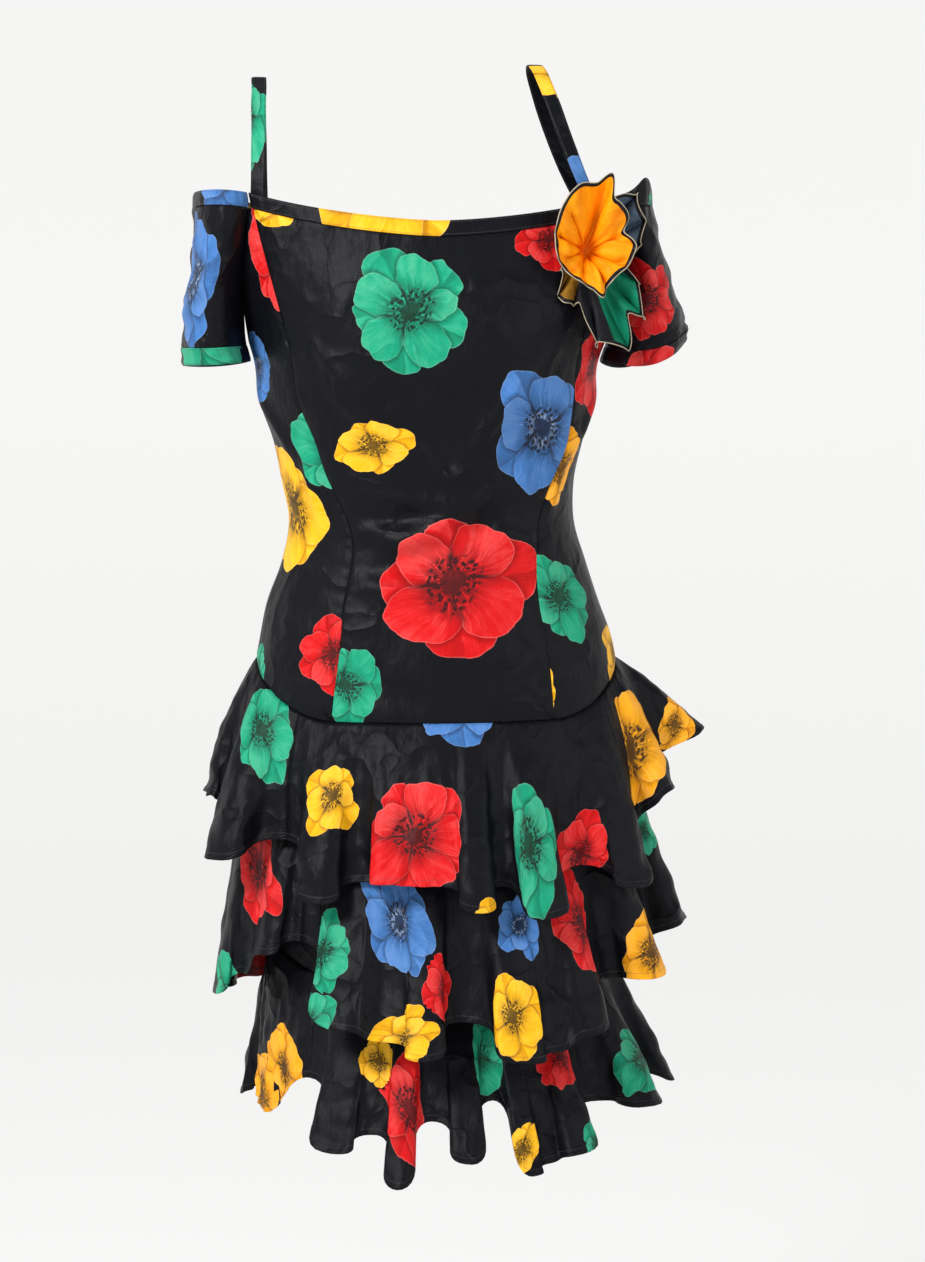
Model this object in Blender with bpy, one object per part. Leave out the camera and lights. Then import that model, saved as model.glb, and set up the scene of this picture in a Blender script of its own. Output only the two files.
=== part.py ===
"""Off-shoulder flamenco dress: princess-seamed bodice, short sleeves, two shoulder straps,
three fluted flounces on a plain underskirt, and a cloth flower at the neckline.

The dress keeps the hollow form it has when worn. Metres, +Z up, front towards -Y, +X is the
wearer's left. The origin is the middle of the shoulder line that the straps pass over.
Angles go round the dress from the centre front, in degrees, positive towards +X.
"""
import math
from collections import namedtuple

import bmesh
import bpy
from mathutils import Vector

# Cloth and seams
WALL = 0.0014
BAND_WALL = 0.0020
STRAP_WALL = 0.0016
FLOWER_WALL = 0.0011
SEAM_GAP = 0.0003
BAND_RAISE = 0.0003
NECK_SEAM_GAP = 0.0008
HALF_SEAM = 0.00024

FRONT = Vector((0.0, -1.0, 0.0))

# Sections of the worn body form: its half width, front and back depth and sideways shift
Section = namedtuple("Section", "height half_width front back shift")
BODY = (
    Section(-0.105, 0.2090, 0.102, 0.097, 0.0000),
    Section(-0.140, 0.1990, 0.108, 0.101, 0.0000),
    Section(-0.180, 0.1840, 0.117, 0.105, 0.0000),
    Section(-0.220, 0.1680, 0.124, 0.107, -0.0010),
    Section(-0.256, 0.1545, 0.125, 0.107, -0.0030),
    Section(-0.292, 0.1494, 0.120, 0.102, -0.0036),
    Section(-0.328, 0.1390, 0.111, 0.096, -0.0014),
    Section(-0.364, 0.1314, 0.103, 0.090, -0.0018),
    Section(-0.400, 0.1283, 0.099, 0.087, 0.0014),
    Section(-0.436, 0.1368, 0.101, 0.093, 0.0036),
    Section(-0.472, 0.1494, 0.107, 0.106, 0.0027),
    Section(-0.508, 0.1593, 0.112, 0.119, 0.0054),
    Section(-0.545, 0.1650, 0.115, 0.126, 0.0050),
    Section(-0.600, 0.1650, 0.116, 0.127, 0.0040),
    Section(-0.700, 0.1570, 0.116, 0.121, 0.0040),
    Section(-0.830, 0.1460, 0.114, 0.113, 0.0040),
    Section(-0.970, 0.1400, 0.110, 0.109, 0.0040),
)
BUST_ANGLE = 30.0
BUST_HEIGHT = -0.232
BUST_FULLNESS = 0.006
BUST_SPREAD_ANGLE = 15.0
BUST_SPREAD_HEIGHT = 0.045

# Seams that run down the bodice, by height
SeamPoint = namedtuple("SeamPoint", "height angle")
PRINCESS_FRONT_RIGHT = (
    SeamPoint(-0.110, 51.0),
    SeamPoint(-0.228, 53.0),
    SeamPoint(-0.292, 52.0),
    SeamPoint(-0.349, 47.0),
    SeamPoint(-0.375, 42.5),
    SeamPoint(-0.407, 36.5),
    SeamPoint(-0.430, 35.0),
    SeamPoint(-0.520, 35.0),
    SeamPoint(-0.580, 36.5),
)
PRINCESS_FRONT_LEFT = (
    SeamPoint(-0.110, 51.0),
    SeamPoint(-0.228, 55.0),
    SeamPoint(-0.279, 57.0),
    SeamPoint(-0.324, 59.0),
    SeamPoint(-0.349, 56.0),
    SeamPoint(-0.375, 50.0),
    SeamPoint(-0.407, 42.5),
    SeamPoint(-0.450, 37.0),
    SeamPoint(-0.520, 35.0),
    SeamPoint(-0.580, 36.5),
)
PRINCESS_FRONT = {-1: PRINCESS_FRONT_RIGHT, 1: PRINCESS_FRONT_LEFT}
PRINCESS_BACK = (
    SeamPoint(-0.110, 129.0),
    SeamPoint(-0.240, 132.0),
    SeamPoint(-0.400, 142.0),
    SeamPoint(-0.580, 141.0),
)
UNDERARM_HEIGHT = -0.242
ARMHOLE_FRONT = (
    SeamPoint(-0.100, 52.5),
    SeamPoint(-0.127, 53.5),
    SeamPoint(-0.168, 63.0),
    SeamPoint(-0.197, 72.0),
    SeamPoint(-0.222, 79.5),
    SeamPoint(-0.236, 85.5),
    SeamPoint(UNDERARM_HEIGHT, 90.0),
)

# Neckline, hip seam and flounce seams
BAND_HEIGHT = 0.0130
NECK_FRONT_LOW = -0.1520
NECK_FRONT_RISE = 0.0260
NECK_BACK_LOW = -0.1430
NECK_CORNER_ANGLE = 52.0
NECK_CURVE = 1.6
BAND_HALF_ANGLE = NECK_CORNER_ANGLE - 0.3
SLEEVE_TOP = -0.1260
SIDE_TURN_START = 36.0
SIDE_TURN_END = 96.0
HIP_FRONT = -0.5715
HIP_SIDE = -0.5230
HIP_BACK = -0.5400
MIDDLE_FRONT = -0.6550
MIDDLE_SIDE = -0.5900
MIDDLE_BACK = -0.6100
LOWER_FRONT = -0.8000
LOWER_SIDE = -0.7700
LOWER_BACK = -0.7900
UNDERSKIRT_EXTRA = 0.0060

# Flounces: where each fold leaves the seam, where it reaches the hem, how far it stands out there
# and the height of the hem there; crests and valleys take turns
Fold = namedtuple("Fold", "place angle reach hem")
UPPER_FOLDS = (
    Fold(-180, -180, 0.032, -0.666),
    Fold(-167, -166, 0.060, -0.676),
    Fold(-154, -153, 0.028, -0.664),
    Fold(-140, -139, 0.062, -0.672),
    Fold(-125, -124, 0.028, -0.658),
    Fold(-110, -109, 0.058, -0.656),
    Fold(-99, -100, 0.032, -0.646),
    Fold(-88, -89, 0.043, -0.643),
    Fold(-79, -77, 0.030, -0.652),
    Fold(-66, -66, 0.072, -0.692),
    Fold(-49, -49, 0.026, -0.674),
    Fold(-35, -34, 0.062, -0.722),
    Fold(-25, -24, 0.028, -0.706),
    Fold(-17, -17, 0.050, -0.704),
    Fold(-3, -3, 0.048, -0.706),
    Fold(8, 8, 0.064, -0.727),
    Fold(15, 15, 0.031, -0.710),
    Fold(22, 22, 0.067, -0.734),
    Fold(39, 40, 0.028, -0.698),
    Fold(56, 57, 0.062, -0.719),
    Fold(67, 67, 0.030, -0.668),
    Fold(76, 77, 0.056, -0.640),
    Fold(86, 87, 0.036, -0.618),
    Fold(97, 97, 0.086, -0.593),
    Fold(110, 111, 0.032, -0.628),
    Fold(122, 122, 0.060, -0.656),
    Fold(134, 134, 0.028, -0.656),
    Fold(146, 146, 0.060, -0.668),
    Fold(157, 157, 0.030, -0.662),
    Fold(168, 168, 0.056, -0.674),
    Fold(180, 180, 0.032, -0.666),
)
MIDDLE_FOLDS = (
    Fold(-180, -180, 0.034, -0.832),
    Fold(-166, -166, 0.065, -0.844),
    Fold(-152, -152, 0.032, -0.830),
    Fold(-138, -138, 0.062, -0.840),
    Fold(-124, -124, 0.030, -0.826),
    Fold(-110, -110, 0.056, -0.830),
    Fold(-97, -97, 0.036, -0.822),
    Fold(-80, -80, 0.057, -0.820),
    Fold(-64, -64, 0.044, -0.796),
    Fold(-55, -55, 0.050, -0.774),
    Fold(-45, -45, 0.030, -0.762),
    Fold(-30, -28, 0.070, -0.828),
    Fold(-17, -16, 0.062, -0.838),
    Fold(-6, -6, 0.082, -0.850),
    Fold(3, 3, 0.042, -0.825),
    Fold(19, 19, 0.090, -0.854),
    Fold(26, 26, 0.078, -0.848),
    Fold(34, 34, 0.084, -0.836),
    Fold(50, 50, 0.034, -0.802),
    Fold(62, 63, 0.073, -0.801),
    Fold(72, 72, 0.040, -0.780),
    Fold(83, 84, 0.080, -0.763),
    Fold(97, 97, 0.036, -0.784),
    Fold(111, 111, 0.064, -0.815),
    Fold(125, 125, 0.032, -0.820),
    Fold(139, 139, 0.066, -0.835),
    Fold(152, 152, 0.033, -0.828),
    Fold(166, 166, 0.064, -0.842),
    Fold(180, 180, 0.034, -0.832),
)
LOWER_FOLDS = (
    Fold(-180, -180, 0.034, -0.930),
    Fold(-165, -165, 0.060, -0.944),
    Fold(-150, -150, 0.030, -0.930),
    Fold(-136, -136, 0.060, -0.941),
    Fold(-122, -122, 0.030, -0.925),
    Fold(-108, -108, 0.042, -0.930),
    Fold(-93, -93, 0.018, -0.918),
    Fold(-70, -70, 0.024, -0.926),
    Fold(-46, -45, 0.026, -0.884),
    Fold(-31, -31, 0.070, -0.937),
    Fold(-20, -20, 0.050, -0.923),
    Fold(-12, -13, 0.086, -0.960),
    Fold(-4, -5, 0.040, -0.912),
    Fold(5, 5, 0.076, -0.941),
    Fold(13, 13, 0.034, -0.896),
    Fold(20, 20, 0.082, -0.954),
    Fold(26, 26, 0.070, -0.948),
    Fold(33, 33, 0.080, -0.940),
    Fold(47, 48, 0.030, -0.912),
    Fold(64, 65, 0.075, -0.917),
    Fold(75, 76, 0.042, -0.900),
    Fold(86, 87, 0.079, -0.912),
    Fold(100, 100, 0.030, -0.908),
    Fold(114, 114, 0.054, -0.925),
    Fold(128, 128, 0.030, -0.922),
    Fold(141, 141, 0.058, -0.938),
    Fold(154, 154, 0.030, -0.928),
    Fold(167, 167, 0.060, -0.943),
    Fold(180, 180, 0.034, -0.930),
)
FOLD_SQUARENESS = 0.85
FULL_FOLD_DEPTH = 0.016
FOLD_STEPS = 4
SEAM_ROWS = 0.012
FLOUNCE_ROWS = 3
FLOUNCE_BOW = 0.004
UPPER_OPENING_OUT = 1.0
LOWER_OPENING_OUT = 1.15

# Sleeves, from the band's top edge (first row) over the hem seam to the cuff's edge (last row)
SleeveRow = namedtuple("SleeveRow", "outer_height outer_reach end_height half_depth front_dip")
SLEEVE_RIGHT_ARM = (
    SleeveRow(-0.1105, 0.2105, -0.1130, 0.079, 0.000),
    SleeveRow(-0.1235, 0.2110, -0.1260, 0.079, 0.000),
    SleeveRow(-0.1500, 0.2105, -0.1500, 0.078, 0.000),
    SleeveRow(-0.1770, 0.2125, -0.1780, 0.075, 0.000),
    SleeveRow(-0.2030, 0.2175, -0.2050, 0.071, 0.001),
    SleeveRow(-0.2260, 0.2210, -0.2270, 0.067, 0.002),
    SleeveRow(-0.2465, 0.2215, -0.2440, 0.063, 0.002),
    SleeveRow(-0.2620, 0.2210, -0.2580, 0.061, 0.002),
)
SLEEVE_LEFT_ARM = (
    SleeveRow(-0.1080, 0.1970, -0.1130, 0.079, 0.000),
    SleeveRow(-0.1205, 0.1980, -0.1260, 0.079, 0.000),
    SleeveRow(-0.1470, 0.2035, -0.1500, 0.078, 0.002),
    SleeveRow(-0.1720, 0.2115, -0.1780, 0.075, 0.005),
    SleeveRow(-0.1970, 0.2205, -0.2050, 0.071, 0.008),
    SleeveRow(-0.2170, 0.2290, -0.2270, 0.067, 0.010),
    SleeveRow(-0.2265, 0.2310, -0.2440, 0.063, 0.012),
    SleeveRow(-0.2400, 0.2300, -0.2570, 0.061, 0.013),
)
BAND_ROW = 1.0
HEM_ROW = 6.0
CUFF_ROW = 7.0
SLEEVE_END_CLEARANCE = 0.0006
SLEEVE_UNDER_CLEARANCE = 0.0024
SLEEVE_CLOSED_HALF_GAP = 0.0004
BAND_LIFT_AT_FLOWER = 0.011
BAND_LIFT_ANGLE = 62.0
BAND_LIFT_SPREAD = 26.0
BAND_TURN = 236.0
SLEEVE_CLOSING_ROW = 4.0
SLEEVE_CLOSED_ROW = 6.0

# Straps: where each leaves the front band and meets the back band, and its top over the shoulder
Strap = namedtuple("Strap", "name side front_angle back_angle crest_x crest_height")
STRAPS = (
    Strap("strap_right", -1, 50.0, 133.0, -0.1515, -0.0080),
    Strap("strap_left", 1, 43.0, 131.0, 0.0930, 0.0050),
)
STRAP_WIDTH = 0.0130
STRAP_SWEEP = 0.8
STRAP_STEPS = 22
STRAP_OVERLAP = 0.0090
STRAP_BEHIND_BAND = 0.0024

# Cloth flower: bloom of gathered petals over a longer gathered frill
FLOWER_ANGLE = 42.0
FLOWER_HEIGHT = -0.1640
FLOWER_FACING = 0.55
Petal = namedtuple("Petal", "angle reach")
BLOOM_PETALS = (
    Petal(0, 0.0435),
    Petal(6, 0.0442),
    Petal(27, 0.0368),
    Petal(38, 0.0477),
    Petal(54, 0.0520),
    Petal(72, 0.0670),
    Petal(84, 0.0590),
    Petal(98, 0.0572),
    Petal(121, 0.0463),
    Petal(160, 0.0337),
    Petal(190, 0.0310),
    Petal(217, 0.0286),
    Petal(257, 0.0290),
    Petal(276, 0.0350),
    Petal(287, 0.0430),
    Petal(298, 0.0360),
    Petal(321, 0.0344),
    Petal(349, 0.0410),
    Petal(360, 0.0435),
)
FRILL_PETALS = (
    Petal(0, 0.0500),
    Petal(20, 0.0567),
    Petal(40, 0.0640),
    Petal(53, 0.0673),
    Petal(64, 0.0560),
    Petal(78, 0.0400),
    Petal(110, 0.0300),
    Petal(170, 0.0260),
    Petal(205, 0.0270),
    Petal(224, 0.0351),
    Petal(243, 0.0540),
    Petal(261, 0.0500),
    Petal(271, 0.0740),
    Petal(284, 0.0910),
    Petal(302, 0.0900),
    Petal(320, 0.0740),
    Petal(331, 0.0600),
    Petal(342, 0.0430),
    Petal(351, 0.0420),
    Petal(360, 0.0500),
)
BLOOM_STAND = 0.030
BLOOM_WAVES = 9
BLOOM_WAVE_HEIGHT = 0.0040
BLOOM_CURL = 0.75
FRILL_STAND = 0.0150
FRILL_WAVES = 13
FRILL_WAVE_HEIGHT = 0.0034
FRILL_CURL = 0.8
FLOWER_EYE = 0.10
FLOWER_CLOSED = 0.999
FLOWER_GAP = 0.0004
BLOOM_CLEARANCE = 0.0007

# Colours of the printed cotton where each piece is mostly one colour
BLACK_COTTON = (0.012, 0.012, 0.014, 1.0)
BLUE_PRINT = (0.045, 0.150, 0.420, 1.0)
GREEN_PRINT = (0.015, 0.360, 0.200, 1.0)
RED_PRINT = (0.620, 0.015, 0.020, 1.0)
YELLOW_PRINT = (0.930, 0.470, 0.015, 1.0)
COTTON_ROUGHNESS = 0.55

# Cells across and up each kind of piece
BODICE_ROWS = 14
FRONT_COLUMNS = 14
SIDE_COLUMNS = 5
BACK_COLUMNS = 7
NECK_BAND_COLUMNS = 24
SLEEVE_COLUMNS = 18
SLEEVE_ROWS = 6
UNDERSKIRT_COLUMNS = 20
UNDERSKIRT_ROWS = 4
FRILL_COLUMNS = 54
BLOOM_COLUMNS = 48
FLOWER_ROWS = 3


def smooth(value):
    """Ease from 0 to 1 with level ends."""
    value = min(max(value, 0.0), 1.0)
    return value * value * (3.0 - 2.0 * value)


def mix(first, second, share):
    return first + (second - first) * share


def curve_through(rows, key, value, column):
    """Read one column of a table as a smooth curve through its rows, in the order of the key."""
    keys = [getattr(row, key) for row in rows]
    if keys[0] > keys[-1]:
        keys = [-k for k in keys]
        value = -value
    value = min(max(value, keys[0]), keys[-1])
    index = 0
    while index < len(keys) - 2 and value > keys[index + 1]:
        index += 1
    heights = [getattr(row, column) for row in rows]

    def slope(i):
        low = max(i - 1, 0)
        high = min(i + 1, len(keys) - 1)
        return (heights[high] - heights[low]) / (keys[high] - keys[low])

    width = keys[index + 1] - keys[index]
    f = (value - keys[index]) / width
    start = heights[index]
    end = heights[index + 1]
    return (
        start * (1 + 2 * f) * (1 - f) ** 2
        + end * f * f * (3 - 2 * f)
        + width * slope(index) * f * (1 - f) ** 2
        + width * slope(index + 1) * f * f * (f - 1)
    )


def side_turn(angle):
    """0 over the front, 1 from the side seam on."""
    return smooth((abs(angle) - SIDE_TURN_START) / (SIDE_TURN_END - SIDE_TURN_START))


def level_seam(front, side, back, angle):
    """Height of a seam that rises from the front to the sides and drops a little at the back."""
    drop = smooth((abs(angle) - SIDE_TURN_END) / (180.0 - SIDE_TURN_END))
    return mix(mix(front, side, side_turn(angle)), back, drop)


def hip_height(angle):
    return level_seam(HIP_FRONT, HIP_SIDE, HIP_BACK, angle)


def middle_height(angle):
    return level_seam(MIDDLE_FRONT, MIDDLE_SIDE, MIDDLE_BACK, angle)


def lower_height(angle):
    return level_seam(LOWER_FRONT, LOWER_SIDE, LOWER_BACK, angle)


def neck_height(angle):
    """Lower edge of the neck band."""
    if abs(angle) <= 90.0:
        share = min(abs(angle) / NECK_CORNER_ANGLE, 1.0) ** NECK_CURVE
        return NECK_FRONT_LOW + NECK_FRONT_RISE * share
    share = min((180.0 - abs(angle)) / NECK_CORNER_ANGLE, 1.0) ** NECK_CURVE
    return mix(NECK_BACK_LOW, SLEEVE_TOP, share)


def body_point(angle, height, out=0.0):
    """Point on the worn body form, moved out along its level normal."""
    turn = math.radians(angle)
    side = math.sin(turn)
    ahead = math.cos(turn)
    half_width = curve_through(BODY, "height", height, "half_width")
    front = curve_through(BODY, "height", height, "front")
    back = curve_through(BODY, "height", height, "back")
    shift = curve_through(BODY, "height", height, "shift")
    depth = front if ahead > 0 else back
    normal = Vector((side / half_width, -ahead / depth, 0.0)).normalized()
    across = (abs(angle) - BUST_ANGLE) / BUST_SPREAD_ANGLE
    along = (height - BUST_HEIGHT) / BUST_SPREAD_HEIGHT
    fullness = BUST_FULLNESS * math.exp(-across * across - along * along)
    point = Vector((shift + half_width * side, -depth * ahead, height))
    return point + normal * (out + fullness)


def seam_turn(angle, height):
    """Half the seam gap as an angle, at a place on the body form."""
    turn = math.radians(angle)
    half_width = curve_through(BODY, "height", height, "half_width")
    depth = curve_through(BODY, "height", height, "front" if math.cos(turn) > 0 else "back")
    return math.degrees(HALF_SEAM / math.hypot(half_width * math.cos(turn), depth * math.sin(turn)))


def cotton(name, colour):
    material = bpy.data.materials.new(name)
    material.use_nodes = True
    shader = material.node_tree.nodes["Principled BSDF"]
    shader.inputs["Base Color"].default_value = colour
    shader.inputs["Roughness"].default_value = COTTON_ROUGHNESS
    shader.inputs["Metallic"].default_value = 0.0
    material.diffuse_color = colour
    return material


def cloth_piece(name, columns, rows, surface, wall, colour, joined=False):
    """Lay a grid on a surface of two shares, across (0 to 1) and up (0 hem to 1 top), with a wall."""
    grid = bmesh.new()
    bmesh.ops.create_grid(grid, x_segments=columns, y_segments=rows, size=0.5)
    for vertex in grid.verts:
        vertex.co = surface(vertex.co.x + 0.5, vertex.co.y + 0.5)
    if joined:
        bmesh.ops.remove_doubles(grid, verts=grid.verts, dist=1e-6)
    mesh = bpy.data.meshes.new(name)
    grid.to_mesh(mesh)
    grid.free()
    piece = bpy.data.objects.new(name, mesh)
    bpy.context.scene.collection.objects.link(piece)
    mesh.shade_smooth()
    mesh.materials.append(cotton(name + "_cloth", colour))
    thickness = piece.modifiers.new("wall", "SOLIDIFY")
    thickness.thickness = wall
    thickness.offset = -1.0
    thickness.use_even_offset = True
    thickness.use_rim = True
    return piece


def bodice_piece(name, left_seam, right_seam, top, bottom, columns):
    """Bodice panel between two seams (angle by height), from its top to the hip seam."""

    def surface(across, up):
        left_height = mix(bottom(0.0), top(0.0), up)
        right_height = mix(bottom(1.0), top(1.0), up)
        left_angle = left_seam(left_height)
        left_angle += seam_turn(left_angle, left_height)
        right_angle = right_seam(right_height)
        right_angle -= seam_turn(right_angle, right_height)
        angle = mix(left_angle, right_angle, across)
        return body_point(angle, mix(bottom(across), top(across), up))

    cloth_piece(name, columns, BODICE_ROWS, surface, WALL, BLACK_COTTON)


def between(start, end, height_at, extra=0.0):
    """Height along an edge as the angle goes from start to end."""
    return lambda share: height_at(mix(start, end, share)) + extra


def level_at(height):
    return lambda share: height


def seam_reader(rows, sign):
    return lambda height: sign * curve_through(rows, "height", height, "angle")


def centre_back(sign):
    return lambda height: sign * 180.0


def armhole_reader(sign, front):
    """Edge of the side panels: the armhole down to the underarm, then the side seam."""

    def angle(height):
        reach = 90.0
        if height > UNDERARM_HEIGHT:
            reach = curve_through(ARMHOLE_FRONT, "height", height, "angle")
        return sign * (reach if front else 180.0 - reach)

    return angle


def make_bodice():
    front_seam = PRINCESS_FRONT_RIGHT[-1].angle
    back_seam = PRINCESS_BACK[-1].angle
    neck_front = NECK_CORNER_ANGLE - 1.0
    bodice_piece("bodice_front", seam_reader(PRINCESS_FRONT[-1], -1), seam_reader(PRINCESS_FRONT[1], 1),
                 between(-neck_front, neck_front, neck_height),
                 between(-front_seam, front_seam, hip_height, SEAM_GAP), FRONT_COLUMNS)

    # each side's seams are named from the front round to the back, and turned over on the right
    for word, sign in (("right", -1), ("left", 1)):
        order = slice(None, None, sign)
        seams = (seam_reader(PRINCESS_FRONT[sign], sign), armhole_reader(sign, True))[order]
        ends = (front_seam, 90.0)[order]
        bodice_piece("bodice_side_front_" + word, *seams, level_at(neck_height(neck_front)),
                     between(*ends, hip_height, SEAM_GAP), SIDE_COLUMNS)
        seams = (armhole_reader(sign, False), seam_reader(PRINCESS_BACK, sign))[order]
        ends = (90.0, back_seam)[order]
        bodice_piece("bodice_side_back_" + word, *seams, level_at(neck_height(180.0 - neck_front)),
                     between(*ends, hip_height, SEAM_GAP), SIDE_COLUMNS)
        seams = (seam_reader(PRINCESS_BACK, sign), centre_back(sign))[order]
        ends = (back_seam, 180.0)[order]
        tops = (180.0 - neck_front, 180.0)[order]
        bodice_piece("bodice_back_" + word, *seams, between(*tops, neck_height),
                     between(*ends, hip_height, SEAM_GAP), BACK_COLUMNS)


def neck_band(name, centre):
    def surface(across, up):
        angle = centre + mix(-BAND_HALF_ANGLE, BAND_HALF_ANGLE, across)
        low = neck_height(angle if angle <= 180.0 else angle - 360.0)
        return body_point(angle, low + NECK_SEAM_GAP + (BAND_HEIGHT - NECK_SEAM_GAP) * up, BAND_RAISE)

    cloth_piece(name, NECK_BAND_COLUMNS, 1, surface, BAND_WALL, BLACK_COTTON)


def sleeve_surface(side, rows):
    """Worn sleeve: a C-shaped row from the front of the armhole round the arm to its back."""

    def cell(row, column):
        low = min(int(row), len(rows) - 2)
        return mix(getattr(rows[low], column), getattr(rows[low + 1], column), row - low)

    def surface(across, row):
        end_height = cell(row, "end_height")
        edge = body_point(armhole_reader(side, True)(end_height), end_height)
        closed = smooth((row - SLEEVE_CLOSING_ROW) / (SLEEVE_CLOSED_ROW - SLEEVE_CLOSING_ROW))
        clearance = mix(SLEEVE_END_CLEARANCE, SLEEVE_UNDER_CLEARANCE, closed)
        edge_x = abs(edge.x) + clearance
        edge_depth = max(-edge.y - clearance * (1.0 - closed), SLEEVE_CLOSED_HALF_GAP)
        half_depth = cell(row, "half_depth")
        reach = cell(row, "outer_reach")
        end_turn = math.pi - math.asin(min(edge_depth / half_depth, 1.0))
        radius = (reach - edge_x) / (1.0 - math.cos(end_turn))
        turn = mix(-end_turn, end_turn, across)
        round_share = (1.0 - math.cos(turn)) / (1.0 - math.cos(end_turn))
        height = mix(cell(row, "outer_height"), end_height, round_share)
        height -= cell(row, "front_dip") * math.sin(turn) ** 2
        x = reach - radius + radius * math.cos(turn)
        return Vector((side * x, half_depth * math.sin(turn) * side, height))

    return surface


def make_sleeve(word, side, rows, cuff_colour, band_colour):
    place = sleeve_surface(side, rows)
    seam_share = 2.0 * SEAM_GAP / BAND_HEIGHT

    def sleeve(across, up):
        return place(across, mix(HEM_ROW, BAND_ROW + seam_share, up))

    def cuff(across, up):
        return place(across, mix(CUFF_ROW, HEM_ROW + seam_share, up))

    def band(across, up):
        point = place(across, mix(BAND_ROW, 0.0, up))
        if side > 0 and across < 0.5:
            turn = (0.5 - across) * BAND_TURN
            lift = math.exp(-((turn - BAND_LIFT_ANGLE) / BAND_LIFT_SPREAD) ** 2)
            point.z += BAND_LIFT_AT_FLOWER * lift * up
        return point

    cloth_piece("sleeve_" + word, SLEEVE_COLUMNS, SLEEVE_ROWS, sleeve, WALL, BLACK_COTTON)
    cloth_piece("cuff_" + word, SLEEVE_COLUMNS, 1, cuff, WALL, cuff_colour)
    cloth_piece("sleeve_band_" + word, SLEEVE_COLUMNS, 1, band, WALL, band_colour)


def make_strap(strap):
    """Flat strap: it rises behind the front band, arches over the shoulder and ends behind the
    back band, turned along the body at both feet and level over the shoulder."""
    low = SLEEVE_TOP + BAND_HEIGHT - STRAP_OVERLAP
    inside = -STRAP_BEHIND_BAND - BAND_WALL + BAND_RAISE + STRAP_WALL
    crest_width = Vector((1.0, 0.0, 0.0))
    feet = []
    for angle, turned in ((strap.front_angle, 1.0), (strap.back_angle, -1.0)):
        angle *= strap.side
        along_body = body_point(angle + 1.0, low) - body_point(angle - 1.0, low)
        feet.append((body_point(angle, low, inside), along_body.normalized() * turned))

    def surface(across, along):
        turn = math.pi * along
        rise = math.sin(turn)
        foot, foot_width = feet[0] if along < 0.5 else feet[1]
        x = mix(foot.x, strap.crest_x, rise ** STRAP_SWEEP)
        y = foot.y * abs(math.cos(turn))
        z = mix(low, strap.crest_height, rise)
        width = crest_width.lerp(foot_width, smooth(1.0 - rise)).normalized()
        return Vector((x, y, z)) + width * STRAP_WIDTH * (across - 0.5)

    cloth_piece(strap.name, 1, STRAP_STEPS, surface, STRAP_WALL, BLACK_COTTON)


def fold_value(folds, position):
    """Angle, place, reach and hem height at a position counted in table rows."""
    low = min(int(position), len(folds) - 2)
    share = position - low
    first = folds[low]
    second = folds[low + 1]
    eased = 0.5 - 0.5 * math.cos(math.pi * share)
    square = FOLD_SQUARENESS * smooth(abs(second.reach - first.reach) / FULL_FOLD_DEPTH)
    bent = share + square * math.sin(2.0 * math.pi * share) / (2.0 * math.pi)
    return (
        mix(first.place, second.place, share),
        mix(first.angle, second.angle, bent),
        mix(first.reach, second.reach, eased),
        mix(first.hem, second.hem, eased),
    )


def flounce_surface(folds, start, end, seam_height, opening_out):
    """Circular flounce from its seam to its hem, over the table rows from start to end."""

    def surface(across, up):
        down = 1.0 - up
        place, angle, reach, hem = fold_value(folds, mix(start, end, across))
        here = mix(place, angle, down)
        top = seam_height(place) - SEAM_GAP
        height = mix(top, hem, down)
        out = reach * down ** opening_out + FLOUNCE_BOW * math.sin(math.pi * down)
        return body_point(here, height, out)

    return surface


def make_flounce(name, folds, first_seam, second_seam, seam_height, opening_out):
    """A front piece between two seams, counted in table rows, and a back piece on each side that
    reaches the centre back."""
    pieces = (
        ("_front", first_seam, second_seam),
        ("_back_right", 0, first_seam),
        ("_back_left", second_seam, len(folds) - 1),
    )
    for word, start, end in pieces:
        surface = flounce_surface(folds, start + SEAM_ROWS, end - SEAM_ROWS, seam_height, opening_out)
        cloth_piece(name + word, (end - start) * FOLD_STEPS, FLOUNCE_ROWS, surface, WALL, BLACK_COTTON)


def make_underskirt():
    inside = -WALL - SEAM_GAP

    def half(start):
        def surface(across, up):
            edge = seam_turn(90.0, HIP_SIDE)
            angle = start + mix(edge, 180.0 - edge, across)
            turned = angle if angle <= 180.0 else angle - 360.0
            top = hip_height(turned) - SEAM_GAP
            height = mix(lower_height(turned) - UNDERSKIRT_EXTRA, top, up)
            return body_point(turned, height, inside)
        return surface

    for word, start in (("front", -90.0), ("back", 90.0)):
        cloth_piece("underskirt_" + word, UNDERSKIRT_COLUMNS, UNDERSKIRT_ROWS, half(start), WALL, BLACK_COTTON)


def flower_surface(petals, base, facing, stand, waves, wave_height, curl):
    """Gathered circle: flat at the eye, standing out to the front and waving towards its edge."""
    right = Vector((0.0, 0.0, 1.0)).cross(facing).normalized()
    up_axis = facing.cross(right).normalized()

    def surface(across, up):
        if up > FLOWER_CLOSED:
            return base.copy()
        share = mix(1.0, FLOWER_EYE, up)
        opened = (share - FLOWER_EYE) / (1.0 - FLOWER_EYE)
        angle = 360.0 * across
        reach = curve_through(petals, "angle", angle, "reach")
        turn = math.radians(angle)
        ahead = stand * opened ** curl + wave_height * math.sin(waves * turn) * share ** 2
        flat = right * math.cos(turn) + up_axis * math.sin(turn)
        return base + flat * reach * share + FRONT * ahead

    return surface


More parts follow.
